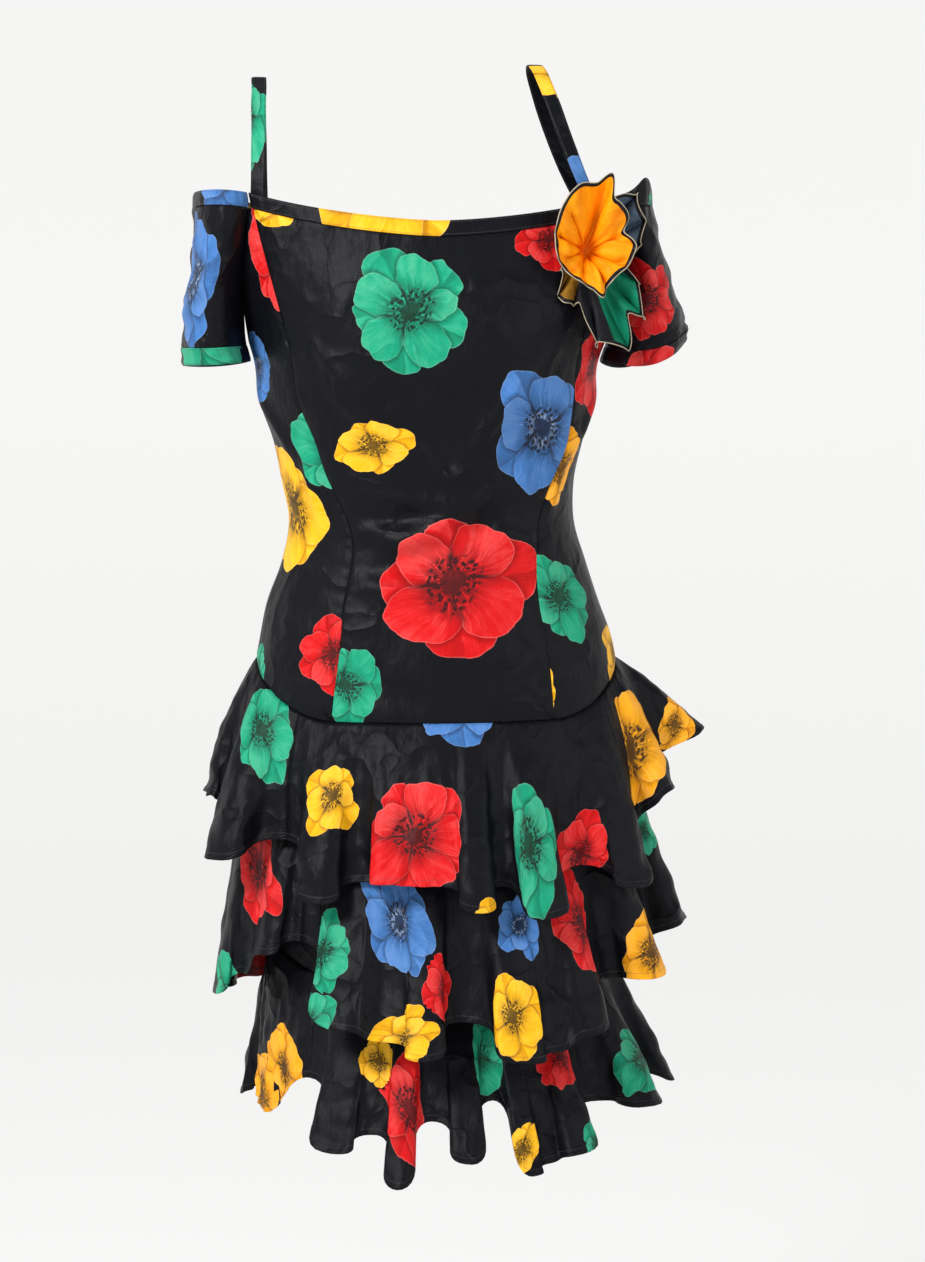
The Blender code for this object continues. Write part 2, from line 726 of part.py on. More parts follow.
def make_flower():
    anchor = body_point(FLOWER_ANGLE, FLOWER_HEIGHT)
    outward = body_point(FLOWER_ANGLE, FLOWER_HEIGHT, 1.0) - anchor
    facing = FRONT.lerp(outward, FLOWER_FACING).normalized()
    step = FLOWER_WALL + FLOWER_GAP
    frill = flower_surface(FRILL_PETALS, anchor + facing * step, facing, FRILL_STAND,
                           FRILL_WAVES, FRILL_WAVE_HEIGHT, FRILL_CURL)
    bloom = flower_surface(BLOOM_PETALS, anchor + facing * (2.0 * step + BLOOM_CLEARANCE), facing, BLOOM_STAND,
                           BLOOM_WAVES, BLOOM_WAVE_HEIGHT, BLOOM_CURL)
    cloth_piece("flower_frill", FRILL_COLUMNS, FLOWER_ROWS, frill, FLOWER_WALL, GREEN_PRINT, joined=True)
    cloth_piece("flower_bloom", BLOOM_COLUMNS, FLOWER_ROWS, bloom, FLOWER_WALL, YELLOW_PRINT, joined=True)


def make_dress():
    for old in list(bpy.data.objects):
        bpy.data.objects.remove(old, do_unlink=True)
    make_bodice()
    neck_band("neck_band_front", 0.0)
    neck_band("neck_band_back", 180.0)
    make_sleeve("right", -1, SLEEVE_RIGHT_ARM, GREEN_PRINT, BLUE_PRINT)
    make_sleeve("left", 1, SLEEVE_LEFT_ARM, RED_PRINT, BLACK_COTTON)
    for strap in STRAPS:
        make_strap(strap)
    make_underskirt()
    make_flounce("flounce_upper", UPPER_FOLDS, 10, 20, hip_height, UPPER_OPENING_OUT)
    make_flounce("flounce_middle", MIDDLE_FOLDS, 10, 20, middle_height, LOWER_OPENING_OUT)
    make_flounce("flounce_lower", LOWER_FOLDS, 8, 20, lower_height, LOWER_OPENING_OUT)
    make_flower()


make_dress()
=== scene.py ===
# %% [markdown]
# A flamenco dress in printed cotton. The real garment is one hollow piece of sewing: a fitted
# bodice cut in seven panels, sleeves that sit off the shoulder, two narrow straps, three flounces
# cut as parts of rings so that they flute, a plain underskirt that carries them, and a cloth flower.
# This lesson starts from the fixed frame, which says where each piece is, and makes the cloth
# again with finer folds, seams, hems and its print.

# %% Load the fixed frame and keep its size
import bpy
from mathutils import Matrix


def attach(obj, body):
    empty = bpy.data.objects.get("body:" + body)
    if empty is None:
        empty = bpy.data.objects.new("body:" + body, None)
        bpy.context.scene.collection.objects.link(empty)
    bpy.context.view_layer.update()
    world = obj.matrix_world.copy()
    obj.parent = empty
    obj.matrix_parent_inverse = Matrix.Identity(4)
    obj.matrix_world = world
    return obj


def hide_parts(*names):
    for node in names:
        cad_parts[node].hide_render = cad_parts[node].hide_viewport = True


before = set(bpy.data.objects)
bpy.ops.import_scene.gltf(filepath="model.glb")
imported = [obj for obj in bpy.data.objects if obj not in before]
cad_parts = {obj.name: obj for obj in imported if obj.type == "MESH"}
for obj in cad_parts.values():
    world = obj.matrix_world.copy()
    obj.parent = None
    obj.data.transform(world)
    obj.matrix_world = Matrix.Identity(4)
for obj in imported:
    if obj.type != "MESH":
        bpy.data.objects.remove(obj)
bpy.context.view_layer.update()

# %% Bring in the tools
import math
import random
from collections import namedtuple

import bmesh
import bpy
from mathutils import Vector, noise
from mathutils.bvhtree import BVHTree
from mathutils.geometry import barycentric_transform


def table(kind, rows):
    """Rows of numbers with the names of their columns."""
    return tuple(kind(*row) for row in rows)


print("tables, grids and noise are ready")

# %% [markdown]
# The camera comes first, because the printed flowers are placed through it. It could be turned by
# eye until the dress fits; here its height, distance and turn were worked out from the dress's
# own widths and seams, so the same numbers turn a picture point into a line of sight.

# %% Set the camera
PICTURE_WIDTH = 925
PICTURE_HEIGHT = 1262
CAMERA_PLACE = Vector((-0.1949, -2.5927, -0.2925))
CAMERA_HEADING = math.radians(4.945)
CAMERA_DOWN = math.radians(4.57)
CAMERA_LENS = 82.4
SENSOR = 36.0

camera_data = bpy.data.cameras.new("camera")
camera_data.lens = CAMERA_LENS
camera_data.sensor_width = SENSOR
camera = bpy.data.objects.new("camera", camera_data)
bpy.context.scene.collection.objects.link(camera)
camera.location = CAMERA_PLACE
camera.rotation_euler = (math.pi / 2 - CAMERA_DOWN, 0.0, -CAMERA_HEADING)
bpy.context.scene.camera = camera
camera_turn = camera.rotation_euler.to_matrix()


def line_of_sight(across, down):
    """Direction from the camera through a point of the picture, counted from its top left."""
    reach = CAMERA_LENS / SENSOR * PICTURE_HEIGHT
    flat = Vector((across - PICTURE_WIDTH / 2, PICTURE_HEIGHT / 2 - down, -reach))
    return (camera_turn @ flat).normalized()


print("camera looks along", [round(n, 3) for n in line_of_sight(PICTURE_WIDTH / 2, PICTURE_HEIGHT / 2)])

# %% [markdown]
# The worn body form carries everything. It is a stack of level sections, each half an ellipse in
# front and half another behind, and a soft fullness at the bust. It could be sculpted, but a
# table of named sizes keeps the seams exactly where the frame has them.

# %% Body form
Section = namedtuple("Section", "height half_width front back shift")
BODY = table(Section, (
    (-0.105, 0.2090, 0.102, 0.097, 0.0000), (-0.140, 0.1990, 0.108, 0.101, 0.0000),
    (-0.180, 0.1840, 0.117, 0.105, 0.0000), (-0.220, 0.1680, 0.124, 0.107, -0.0010),
    (-0.256, 0.1545, 0.125, 0.107, -0.0030), (-0.292, 0.1494, 0.120, 0.102, -0.0036),
    (-0.328, 0.1390, 0.111, 0.096, -0.0014), (-0.364, 0.1314, 0.103, 0.090, -0.0018),
    (-0.400, 0.1283, 0.099, 0.087, 0.0014), (-0.436, 0.1368, 0.101, 0.093, 0.0036),
    (-0.472, 0.1494, 0.107, 0.106, 0.0027), (-0.508, 0.1593, 0.112, 0.119, 0.0054),
    (-0.545, 0.1650, 0.115, 0.126, 0.0050), (-0.600, 0.1650, 0.116, 0.127, 0.0040),
    (-0.700, 0.1570, 0.116, 0.121, 0.0040), (-0.830, 0.1460, 0.114, 0.113, 0.0040),
    (-0.970, 0.1400, 0.110, 0.109, 0.0040),
))
BUST_ANGLE = 30.0
BUST_HEIGHT = -0.232
BUST_FULLNESS = 0.006
BUST_SPREAD_ANGLE = 15.0
BUST_SPREAD_HEIGHT = 0.045


def smooth(value):
    """Ease from 0 to 1 with level ends."""
    value = min(max(value, 0.0), 1.0)
    return value * value * (3.0 - 2.0 * value)


def mix(first, second, share):
    return first + (second - first) * share


def curve_through(rows, key, value, column):
    """Read one column of a table as a smooth curve through its rows, in the order of the key."""
    keys = [getattr(row, key) for row in rows]
    if keys[0] > keys[-1]:
        keys = [-k for k in keys]
        value = -value
    value = min(max(value, keys[0]), keys[-1])
    index = 0
    while index < len(keys) - 2 and value > keys[index + 1]:
        index += 1
    heights = [getattr(row, column) for row in rows]

    def slope(i):
        low = max(i - 1, 0)
        high = min(i + 1, len(keys) - 1)
        return (heights[high] - heights[low]) / (keys[high] - keys[low])

    width = keys[index + 1] - keys[index]
    f = (value - keys[index]) / width
    start = heights[index]
    end = heights[index + 1]
    return (
        start * (1 + 2 * f) * (1 - f) ** 2
        + end * f * f * (3 - 2 * f)
        + width * slope(index) * f * (1 - f) ** 2
        + width * slope(index + 1) * f * f * (f - 1)
    )


def read_body(height):
    return [curve_through(BODY, "height", height, column) for column in Section._fields[1:]]


BODY_STEP = 0.001
BODY_TOP = BODY[0].height
BODY_STEPS = int(round((BODY_TOP - BODY[-1].height) / BODY_STEP))
JUST_UNDER = 0.001
WAIST_HEIGHT = -0.40
HIP_HEIGHT = -0.545
BODY_SIZES = [read_body(BODY_TOP - step * BODY_STEP) for step in range(BODY_STEPS + 1)]


def body_section(height):
    """Half width, front depth, back depth and shift at a height, from sizes read once."""
    place = min(max((BODY_TOP - height) / BODY_STEP, 0.0), BODY_STEPS - JUST_UNDER)
    step = int(place)
    share = place - step
    return [mix(a, b, share) for a, b in zip(BODY_SIZES[step], BODY_SIZES[step + 1])]


def body_point(angle, height, out=0.0):
    """Point on the worn body form, moved out along its level normal."""
    turn = math.radians(angle)
    side = math.sin(turn)
    ahead = math.cos(turn)
    half_width, front, back, shift = body_section(height)
    depth = front if ahead > 0 else back
    normal = Vector((side / half_width, -ahead / depth, 0.0)).normalized()
    across = (abs(angle) - BUST_ANGLE) / BUST_SPREAD_ANGLE
    along = (height - BUST_HEIGHT) / BUST_SPREAD_HEIGHT
    fullness = BUST_FULLNESS * math.exp(-across * across - along * along)
    point = Vector((shift + half_width * side, -depth * ahead, height))
    return point + normal * (out + fullness)


for word, height in (("waist", WAIST_HEIGHT), ("hip", HIP_HEIGHT)):
    print(word, "is", round(body_section(height)[0] * 2000), "mm wide")

# %% [markdown]
# Seams on the real dress run from the neck over the bust to the hip, and the hip seam drops in
# front. They are kept as short tables of angle by height, the same as the frame's, so the cloth
# panels meet along the same lines that the solids do.

# %% Seam lines
SeamPoint = namedtuple("SeamPoint", "height angle")
PRINCESS_FRONT_RIGHT = table(SeamPoint, (
    (-0.110, 51.0), (-0.228, 53.0), (-0.292, 52.0), (-0.349, 47.0), (-0.375, 42.5), (-0.407, 36.5),
    (-0.430, 35.0), (-0.520, 35.0), (-0.580, 36.5),
))
PRINCESS_FRONT_LEFT = table(SeamPoint, (
    (-0.110, 51.0), (-0.228, 55.0), (-0.279, 57.0), (-0.324, 59.0), (-0.349, 56.0), (-0.375, 50.0),
    (-0.407, 42.5), (-0.450, 37.0), (-0.520, 35.0), (-0.580, 36.5),
))
PRINCESS_FRONT = {-1: PRINCESS_FRONT_RIGHT, 1: PRINCESS_FRONT_LEFT}
PRINCESS_BACK = table(SeamPoint, (
    (-0.110, 129.0), (-0.240, 132.0), (-0.400, 142.0), (-0.580, 141.0),
))
UNDERARM_HEIGHT = -0.242
ARMHOLE_FRONT = table(SeamPoint, (
    (-0.100, 52.5), (-0.127, 53.5), (-0.168, 63.0), (-0.197, 72.0), (-0.222, 79.5), (-0.236, 85.5),
    (UNDERARM_HEIGHT, 90.0),
))
BAND_HEIGHT = 0.0130
NECK_FRONT_LOW = -0.1520
NECK_FRONT_RISE = 0.0260
NECK_BACK_LOW = -0.1430
NECK_CORNER_ANGLE = 52.0
NECK_CURVE = 1.6
SLEEVE_TOP = -0.1260
SIDE_TURN_START = 36.0
SIDE_TURN_END = 96.0
HIP_FRONT = -0.5715
HIP_SIDE = -0.5230
HIP_BACK = -0.5400
MIDDLE_FRONT = -0.6550
MIDDLE_SIDE = -0.5900
MIDDLE_BACK = -0.6100
LOWER_FRONT = -0.8000
LOWER_SIDE = -0.7700
LOWER_BACK = -0.7900
UNDERSKIRT_EXTRA = 0.0060
SEAM_GAP = 0.0001
BAND_RAISE = 0.0003
BAND_OVERLAP = 0.0006


def side_turn(angle):
    """0 over the front, 1 from the side seam on."""
    return smooth((abs(angle) - SIDE_TURN_START) / (SIDE_TURN_END - SIDE_TURN_START))


def level_seam(front, side, back, angle):
    """Height of a seam that rises from the front to the sides and drops a little at the back."""
    drop = smooth((abs(angle) - SIDE_TURN_END) / (180.0 - SIDE_TURN_END))
    return mix(mix(front, side, side_turn(angle)), back, drop)


def hip_height(angle):
    return level_seam(HIP_FRONT, HIP_SIDE, HIP_BACK, angle)


def middle_height(angle):
    return level_seam(MIDDLE_FRONT, MIDDLE_SIDE, MIDDLE_BACK, angle)


def lower_height(angle):
    return level_seam(LOWER_FRONT, LOWER_SIDE, LOWER_BACK, angle)


def neck_height(angle):
    """Lower edge of the neck band."""
    if abs(angle) <= 90.0:
        share = min(abs(angle) / NECK_CORNER_ANGLE, 1.0) ** NECK_CURVE
        return NECK_FRONT_LOW + NECK_FRONT_RISE * share
    share = min((180.0 - abs(angle)) / NECK_CORNER_ANGLE, 1.0) ** NECK_CURVE
    return mix(NECK_BACK_LOW, SLEEVE_TOP, share)


def seam_reader(rows, sign):
    return lambda height: sign * curve_through(rows, "height", height, "angle")


def armhole_reader(sign, front):
    """Edge of the side panels: the armhole down to the underarm, then the side seam."""

    def angle(height):
        reach = 90.0
        if height > UNDERARM_HEIGHT:
            reach = curve_through(ARMHOLE_FRONT, "height", height, "angle")
        return sign * (reach if front else 180.0 - reach)

    return angle


print("hip seam", hip_height(0.0), "in front and", hip_height(90.0), "at the side")

# %% [markdown]
# Every piece of cloth starts as a flat grid and is laid on its surface. A cloth simulation could
# hang it, but the folds have to fall where the photograph shows them, so they are laid one by one.
# The grid also keeps each corner's place on the flat cut in metres, and its distance from the
# sewn edges: the print and the stitches follow those, and so they bend with the cloth.

# %% Lay cloth
CELL = 0.0036
CLOTH_WALL = 0.0006
CLOSEST_MARKS = 0.0006
LEAST_SPREAD = 0.05
SAME_PLACE = 0.00001
NO_EDGE = 1.0
NO_STITCH = 9.0
Cloth = namedtuple("Cloth", "name slot piece held")
cloths = {}


def marks(length, cell, near=(), start=True, end=True):
    """Shares of a length, a cell apart, with closer ones near its sewn ends."""
    count = max(2, int(round(length / cell)))
    shares = [index / count for index in range(count + 1)]
    for distance in near:
        shares += [distance / length] if start else []
        shares += [1.0 - distance / length] if end else []
    shares.sort()
    kept = [0.0]
    for share in shares:
        if share - kept[-1] > CLOSEST_MARKS / length:
            kept.append(share)
    if 1.0 - kept[-1] < CLOSEST_MARKS / length:
        kept.pop()
    return kept + [1.0]


def run_lengths(points):
    """Length from the first point to each point of a run."""
    lengths = [0.0]
    for before, after in zip(points, points[1:]):
        lengths.append(lengths[-1] + (after - before).length)
    return lengths


def level_cut(places, columns, rows):
    """Flat place of each corner of a nearly upright panel: the level run from its middle line and
    the height run along that line."""
    middle = columns // 2
    line = [places[middle, row] for row in range(rows + 1)]
    ups = run_lengths(line)
    flat = {}
    for row in range(rows + 1):
        level = [Vector((places[c, row].x, places[c, row].y, 0.0)) for c in range(columns + 1)]
        runs = run_lengths(level)
        for column in range(columns + 1):
            height = places[column, row].z - line[row].z
            flat[column, row] = (runs[column] - runs[middle], ups[row] + height)
    return flat


def ring_cut(places, columns, rows):
    """Flat place of each corner of a flounce: a part of a ring that is as long as the seam inside
    and as long as the hem outside."""
    seam = run_lengths([places[c, rows] for c in range(columns + 1)])
    hem = run_lengths([places[c, 0] for c in range(columns + 1)])
    depths = [run_lengths([places[c, r] for r in range(rows, -1, -1)]) for c in range(columns + 1)]
    depth = sum(run[-1] for run in depths) / len(depths)
    spread = max((hem[-1] - seam[-1]) / depth, LEAST_SPREAD)
    inner = seam[-1] / spread
    flat = {}
    for column in range(columns + 1):
        for row in range(rows + 1):
            down = depths[column][rows - row]
            share = mix(seam[column] / seam[-1], hem[column] / hem[-1], down / depths[column][-1])
            turn = (share - 0.5) * spread
            away = inner + down
            flat[column, row] = (away * math.sin(turn), inner - away * math.cos(turn))
    return flat


def lay_cloth(name, across, up, surface, cut, edges, slot="printed_cotton", held="hung", closed=False):
    """Lay a grid on a surface of two shares. Edges names each sewn edge with the distance of its
    top stitching, or with none."""
    columns = len(across) - 1
    rows = len(up) - 1
    grid = bmesh.new()
    bmesh.ops.create_grid(grid, x_segments=columns, y_segments=rows, size=0.5)
    cut_layer = grid.loops.layers.uv.new("cut")
    trim_layer = grid.loops.layers.float_vector.new("trim")
    seat = {}
    places = {}
    for vertex in grid.verts:
        spot = (round((vertex.co.x + 0.5) * columns), round((vertex.co.y + 0.5) * rows))
        seat[vertex] = spot
        places[spot] = surface(across[spot[0]], up[spot[1]])
        vertex.co = places[spot]
    flat = cut(places, columns, rows)
    level = {r: run_lengths([places[c, r] for c in range(columns + 1)]) for r in range(rows + 1)}
    risen = {c: run_lengths([places[c, r] for r in range(rows + 1)]) for c in range(columns + 1)}

    def trim(spot):
        column, row = spot
        along = level[row][column]
        height = risen[column][row]
        reach = {
            "left": (along, height),
            "right": (level[row][-1] - along, height),
            "hem": (height, along),
            "top": (risen[column][-1] - height, along),
        }
        best = (0.0, NO_EDGE, NO_STITCH)
        for edge, stitch in edges.items():
            distance, run = reach[edge]
            if distance < best[1]:
                best = (run, distance, NO_STITCH if stitch is None else stitch)
        return best

    for face in grid.faces:
        for loop in face.loops:
            spot = seat[loop.vert]
            loop[cut_layer].uv = flat[spot]
            loop[trim_layer] = trim(spot)
        face.smooth = True
    if closed:
        bmesh.ops.remove_doubles(grid, verts=grid.verts, dist=SAME_PLACE)
    mesh = bpy.data.meshes.new(name)
    grid.to_mesh(mesh)
    grid.free()
    piece = bpy.data.objects.new("cloth_" + name, mesh)
    bpy.context.scene.collection.objects.link(piece)
    cloths[name] = Cloth(name, slot, piece, held)


# %% [markdown]
# Worn cloth is never quite smooth. Each pull on the bodice is a soft ridge between two points, laid
# where the photograph shows one and, a little differently, round the back. Sculpting
# could do it, but a table can be read and changed.

# %% Pulls in the worn bodice
Pull = namedtuple("Pull", "from_angle from_height to_angle to_height width rise")
FRONT_PULLS = table(Pull, (
    (-34, -0.262, -8, -0.395, 0.0110, 0.0016), (-20, -0.250, 10, -0.372, 0.0120, -0.0018),
    (30, -0.268, 0, -0.400, 0.0120, 0.0018), (44, -0.300, 8, -0.440, 0.0100, -0.0015),
    (38, -0.352, -26, -0.428, 0.0095, 0.0018), (30, -0.392, -34, -0.452, 0.0090, -0.0014),
    (-42, -0.404, 20, -0.416, 0.0080, 0.0014), (-40, -0.444, 4, -0.462, 0.0100, 0.0012),
    (46, -0.420, 20, -0.404, 0.0080, 0.0014), (-10, -0.190, 6, -0.262, 0.0140, -0.0014),
    (-30, -0.520, -6, -0.566, 0.0120, -0.0010), (26, -0.510, 10, -0.566, 0.0130, 0.0010),
    (-58, -0.330, -50, -0.420, 0.0090, 0.0013), (64, -0.310, 50, -0.400, 0.0090, 0.0014),
    (-84, -0.270, -62, -0.350, 0.0100, 0.0016), (84, -0.272, 64, -0.344, 0.0100, 0.0016),
    (-44, -0.235, -14, -0.330, 0.0060, 0.0010), (-38, -0.262, -6, -0.352, 0.0060, -0.0010),
    (-30, -0.300, 6, -0.372, 0.0055, 0.0010), (34, -0.255, 12, -0.345, 0.0060, 0.0010),
    (26, -0.300, 4, -0.378, 0.0055, -0.0009), (-34, -0.372, 14, -0.384, 0.0055, 0.0010),
    (-30, -0.396, 4, -0.392, 0.0050, -0.0009), (-8, -0.362, 34, -0.352, 0.0055, 0.0009),
    (-26, -0.410, -6, -0.424, 0.0055, 0.0009), (8, -0.200, 22, -0.250, 0.0070, 0.0010),
    (-24, -0.190, -34, -0.240, 0.0070, 0.0009),
))
BACK_PULLS = table(Pull, (
    (-150, -0.230, -176, -0.330, 0.0130, 0.0014), (152, -0.236, 174, -0.340, 0.0120, 0.0014),
    (-140, -0.380, 178, -0.402, 0.0090, 0.0018), (146, -0.386, -170, -0.420, 0.0090, -0.0014),
    (-160, -0.430, 160, -0.448, 0.0100, 0.0014), (-112, -0.300, -134, -0.380, 0.0110, 0.0014),
    (112, -0.310, 136, -0.392, 0.0110, 0.0014), (-128, -0.260, -158, -0.340, 0.0060, 0.0010),
    (134, -0.270, 164, -0.352, 0.0060, -0.0010), (-150, -0.372, 168, -0.380, 0.0055, 0.0010),
    (172, -0.402, 146, -0.396, 0.0055, 0.0009), (-136, -0.410, -168, -0.424, 0.0055, -0.0009),
    (-150, -0.500, -140, -0.540, 0.0130, -0.0010), (160, -0.490, 146, -0.540, 0.0130, 0.0010),
))
BODY_ROUND = 0.125
PULL_STRENGTH = 3.2
PULL_RUN_OUT = 0.2
PULL_WIDTHS = 2.5
WRINKLE_RADIUS = 0.13
WRINKLE_STRETCH = 0.7


def pull_rise(pulls, angle, height):
    """Sum of the soft ridges at a place, each fading towards its two ends."""
    total = 0.0
    for pull in pulls:
        turn = (pull.to_angle - pull.from_angle + 180.0) % 360.0 - 180.0
        away = (angle - pull.from_angle + 180.0) % 360.0 - 180.0
        run = Vector((math.radians(turn) * BODY_ROUND, pull.to_height - pull.from_height))
        here = Vector((math.radians(away) * BODY_ROUND, height - pull.from_height))
        share = here.dot(run) / run.length_squared
        off = abs(here.cross(run)) / run.length / pull.width
        if -PULL_RUN_OUT < share < 1.0 + PULL_RUN_OUT and off < PULL_WIDTHS:
            fading = smooth(1.0 + PULL_RUN_OUT - abs(share - 0.5) * 2.0)
            total += PULL_STRENGTH * pull.rise * math.exp(-off * off) * fading
    return total


def soft_wrinkle(angle, height, seed, size, rise):
    """Shallow uneven waves, the same on each run."""
    turn = math.radians(angle)
    radius = WRINKLE_RADIUS * size
    spot = (math.sin(turn) * radius, math.cos(turn) * radius + seed, height * size * WRINKLE_STRETCH)
    return rise * noise.noise(Vector(spot))


print(len(FRONT_PULLS), "pulls in front and", len(BACK_PULLS), "behind")

# %% [markdown]
# The bodice has seven panels. Each could be cut from one tube, but separate grids let the
# panels turn in at their seams as sewn cloth does, and cut the printed flowers off there.

# %% Bodice panels
SEAM_TURN_IN = 0.0010
SEAM_TURN_WIDTH = 0.0022
HALF_SEAM = 0.00002
SEAM_STEPS = (0.0009, 0.0022, 0.0042)
SEWN_ROUND = {"left": None, "right": None, "hem": None, "top": None}
CALM_WIDTH = 0.012
CALM_SHARE = 0.45
BODICE_WRINKLE = (3.0, 22.0, 0.0010)
FRONT_WIDTH = 0.21
SIDE_WIDTH = 0.10
BACK_WIDTH = 0.09


def seam_turn(angle, height):
    """Half the seam gap as an angle, at a place on the body form."""
    turn = math.radians(angle)
    half_width, front, back, _ = body_section(height)
    depth = front if math.cos(turn) > 0 else back
    return math.degrees(HALF_SEAM / math.hypot(half_width * math.cos(turn), depth * math.sin(turn)))


def turned_in(distance):
    return -SEAM_TURN_IN * math.exp(-((distance / SEAM_TURN_WIDTH) ** 2))


def bodice_panel(name, left_seam, right_seam, top, bottom, width, pulls):
    """Panel between two seams (angle by height), turned in along them."""

    def surface(across, up):
        left_height = mix(bottom(0.0), top(0.0), up)
        right_height = mix(bottom(1.0), top(1.0), up)
        left_angle = left_seam(left_height)
        left_angle += seam_turn(left_angle, left_height)
        right_angle = right_seam(right_height)
        right_angle -= seam_turn(right_angle, right_height)
        angle = mix(left_angle, right_angle, across)
        height = mix(bottom(across), top(across), up)
        run = abs(right_angle - left_angle) * math.radians(1.0) * BODY_ROUND
        rise = turned_in(run * across) + turned_in(run * (1.0 - across))
        rise += turned_in(height - bottom(across)) + turned_in(top(across) - height)
        calm = smooth(min(across, 1.0 - across) * run / CALM_WIDTH)
        worn = pull_rise(pulls, angle, height) + soft_wrinkle(angle, height, *BODICE_WRINKLE)
        return body_point(angle, height, rise + worn * mix(CALM_SHARE, 1.0, calm))

    long = top(0.5) - bottom(0.5)
    lay_cloth(name, marks(width, CELL, SEAM_STEPS), marks(long, CELL, SEAM_STEPS), surface, level_cut,
              SEWN_ROUND, held="stretched")


NECK_FRONT_HALF = NECK_CORNER_ANGLE - 1.0
FRONT_SEAM = PRINCESS_FRONT_RIGHT[-1].angle
BACK_SEAM = PRINCESS_BACK[-1].angle
SIDE_TOP = neck_height(NECK_FRONT_HALF)
SIDE_BACK_TOP = neck_height(180.0 - NECK_FRONT_HALF)


def between(start, end, height_at, extra=0.0):
    """Height along an edge as the angle goes from start to end."""
    return lambda share: height_at(mix(start, end, share)) + extra


def level_at(height):
    return lambda share: height


def centre_back(sign):
    return lambda height: sign * 180.0


bodice_panel("bodice_front", seam_reader(PRINCESS_FRONT[-1], -1), seam_reader(PRINCESS_FRONT[1], 1),
             between(-NECK_FRONT_HALF, NECK_FRONT_HALF, neck_height),
             between(-FRONT_SEAM, FRONT_SEAM, hip_height, SEAM_GAP), FRONT_WIDTH, FRONT_PULLS)

# each side's seams are named from the front round to the back, and turned over on the right
for word, sign in (("right", -1), ("left", 1)):
    order = slice(None, None, sign)
    seams = (seam_reader(PRINCESS_FRONT[sign], sign), armhole_reader(sign, True))[order]
    ends = (FRONT_SEAM, 90.0)[order]
    bodice_panel("bodice_side_front_" + word, *seams, level_at(SIDE_TOP),
                 between(*ends, hip_height, SEAM_GAP), SIDE_WIDTH, FRONT_PULLS)
    seams = (armhole_reader(sign, False), seam_reader(PRINCESS_BACK, sign))[order]
    ends = (90.0, BACK_SEAM)[order]
    bodice_panel("bodice_side_back_" + word, *seams, level_at(SIDE_BACK_TOP),
                 between(*ends, hip_height, SEAM_GAP), SIDE_WIDTH, BACK_PULLS)
    seams = (seam_reader(PRINCESS_BACK, sign), centre_back(sign))[order]
    ends = (BACK_SEAM, 180.0)[order]
    tops = (180.0 - NECK_FRONT_HALF, 180.0)[order]
    bodice_panel("bodice_back_" + word, *seams, between(*tops, neck_height),
                 between(*ends, hip_height, SEAM_GAP), BACK_WIDTH, BACK_PULLS)
print(sum(len(cloth.piece.data.polygons) for cloth in cloths.values()), "cells in the bodice")

# %% [markdown]
# The neck band is a folded strip, a little proud of the bodice, with a rounded top edge and a row
# of stitching near its lower edge. A swept curve would do, but a laid strip takes the print.

# %% Neck bands
BAND_STITCH = 0.0016
BAND_EDGES = {"hem": BAND_STITCH, "top": BAND_STITCH}
BAND_CELL = 0.0022
BAND_MARKS = (0.0010,)
BAND_LENGTH = 0.32
BAND_ROLL = 0.0009
BAND_ROLL_WIDTH = 0.0014
BAND_PRESS = 0.0003
BAND_PRESS_WIDTH = 0.0012
BAND_WAVE = 0.0004
BAND_WAVE_RATE = 0.35
BAND_HALF_ANGLE = NECK_CORNER_ANGLE - 0.3


def band_roll(up, height):
    """A folded strip is rounded over at its top edge and pressed in along its seam."""
    rolled = BAND_ROLL * math.exp(-(((1.0 - up) * height / BAND_ROLL_WIDTH) ** 2))
    pressed = BAND_PRESS * math.exp(-((up * height / BAND_PRESS_WIDTH) ** 2))
    return -rolled - pressed


def neck_band(name, centre):
    def surface(across, up):
        angle = centre + mix(-BAND_HALF_ANGLE, BAND_HALF_ANGLE, across)
        low = neck_height(angle if angle <= 180.0 else angle - 360.0)
        wave = BAND_WAVE * noise.noise(Vector((angle * BAND_WAVE_RATE, centre, 0.0)))
        out = BAND_RAISE + band_roll(up, BAND_HEIGHT) + wave
        return body_point(angle, low - BAND_OVERLAP + (BAND_HEIGHT + BAND_OVERLAP) * up, out)

    lay_cloth(name, marks(BAND_LENGTH, CELL), marks(BAND_HEIGHT, BAND_CELL, BAND_MARKS), surface,
              level_cut, BAND_EDGES, held="folded")


neck_band("neck_band_front", 0.0)
neck_band("neck_band_back", 180.0)
print("neck bands are", round(BAND_HEIGHT * 1000), "mm wide")

# %% [markdown]
# Each sleeve goes round the arm from the front of the armhole to its back, open inside, with a
# band along its top edge and a cuff at its hem. The rows below are its worn shape; the left one
# tips forward and its band stands up behind the cloth flower.

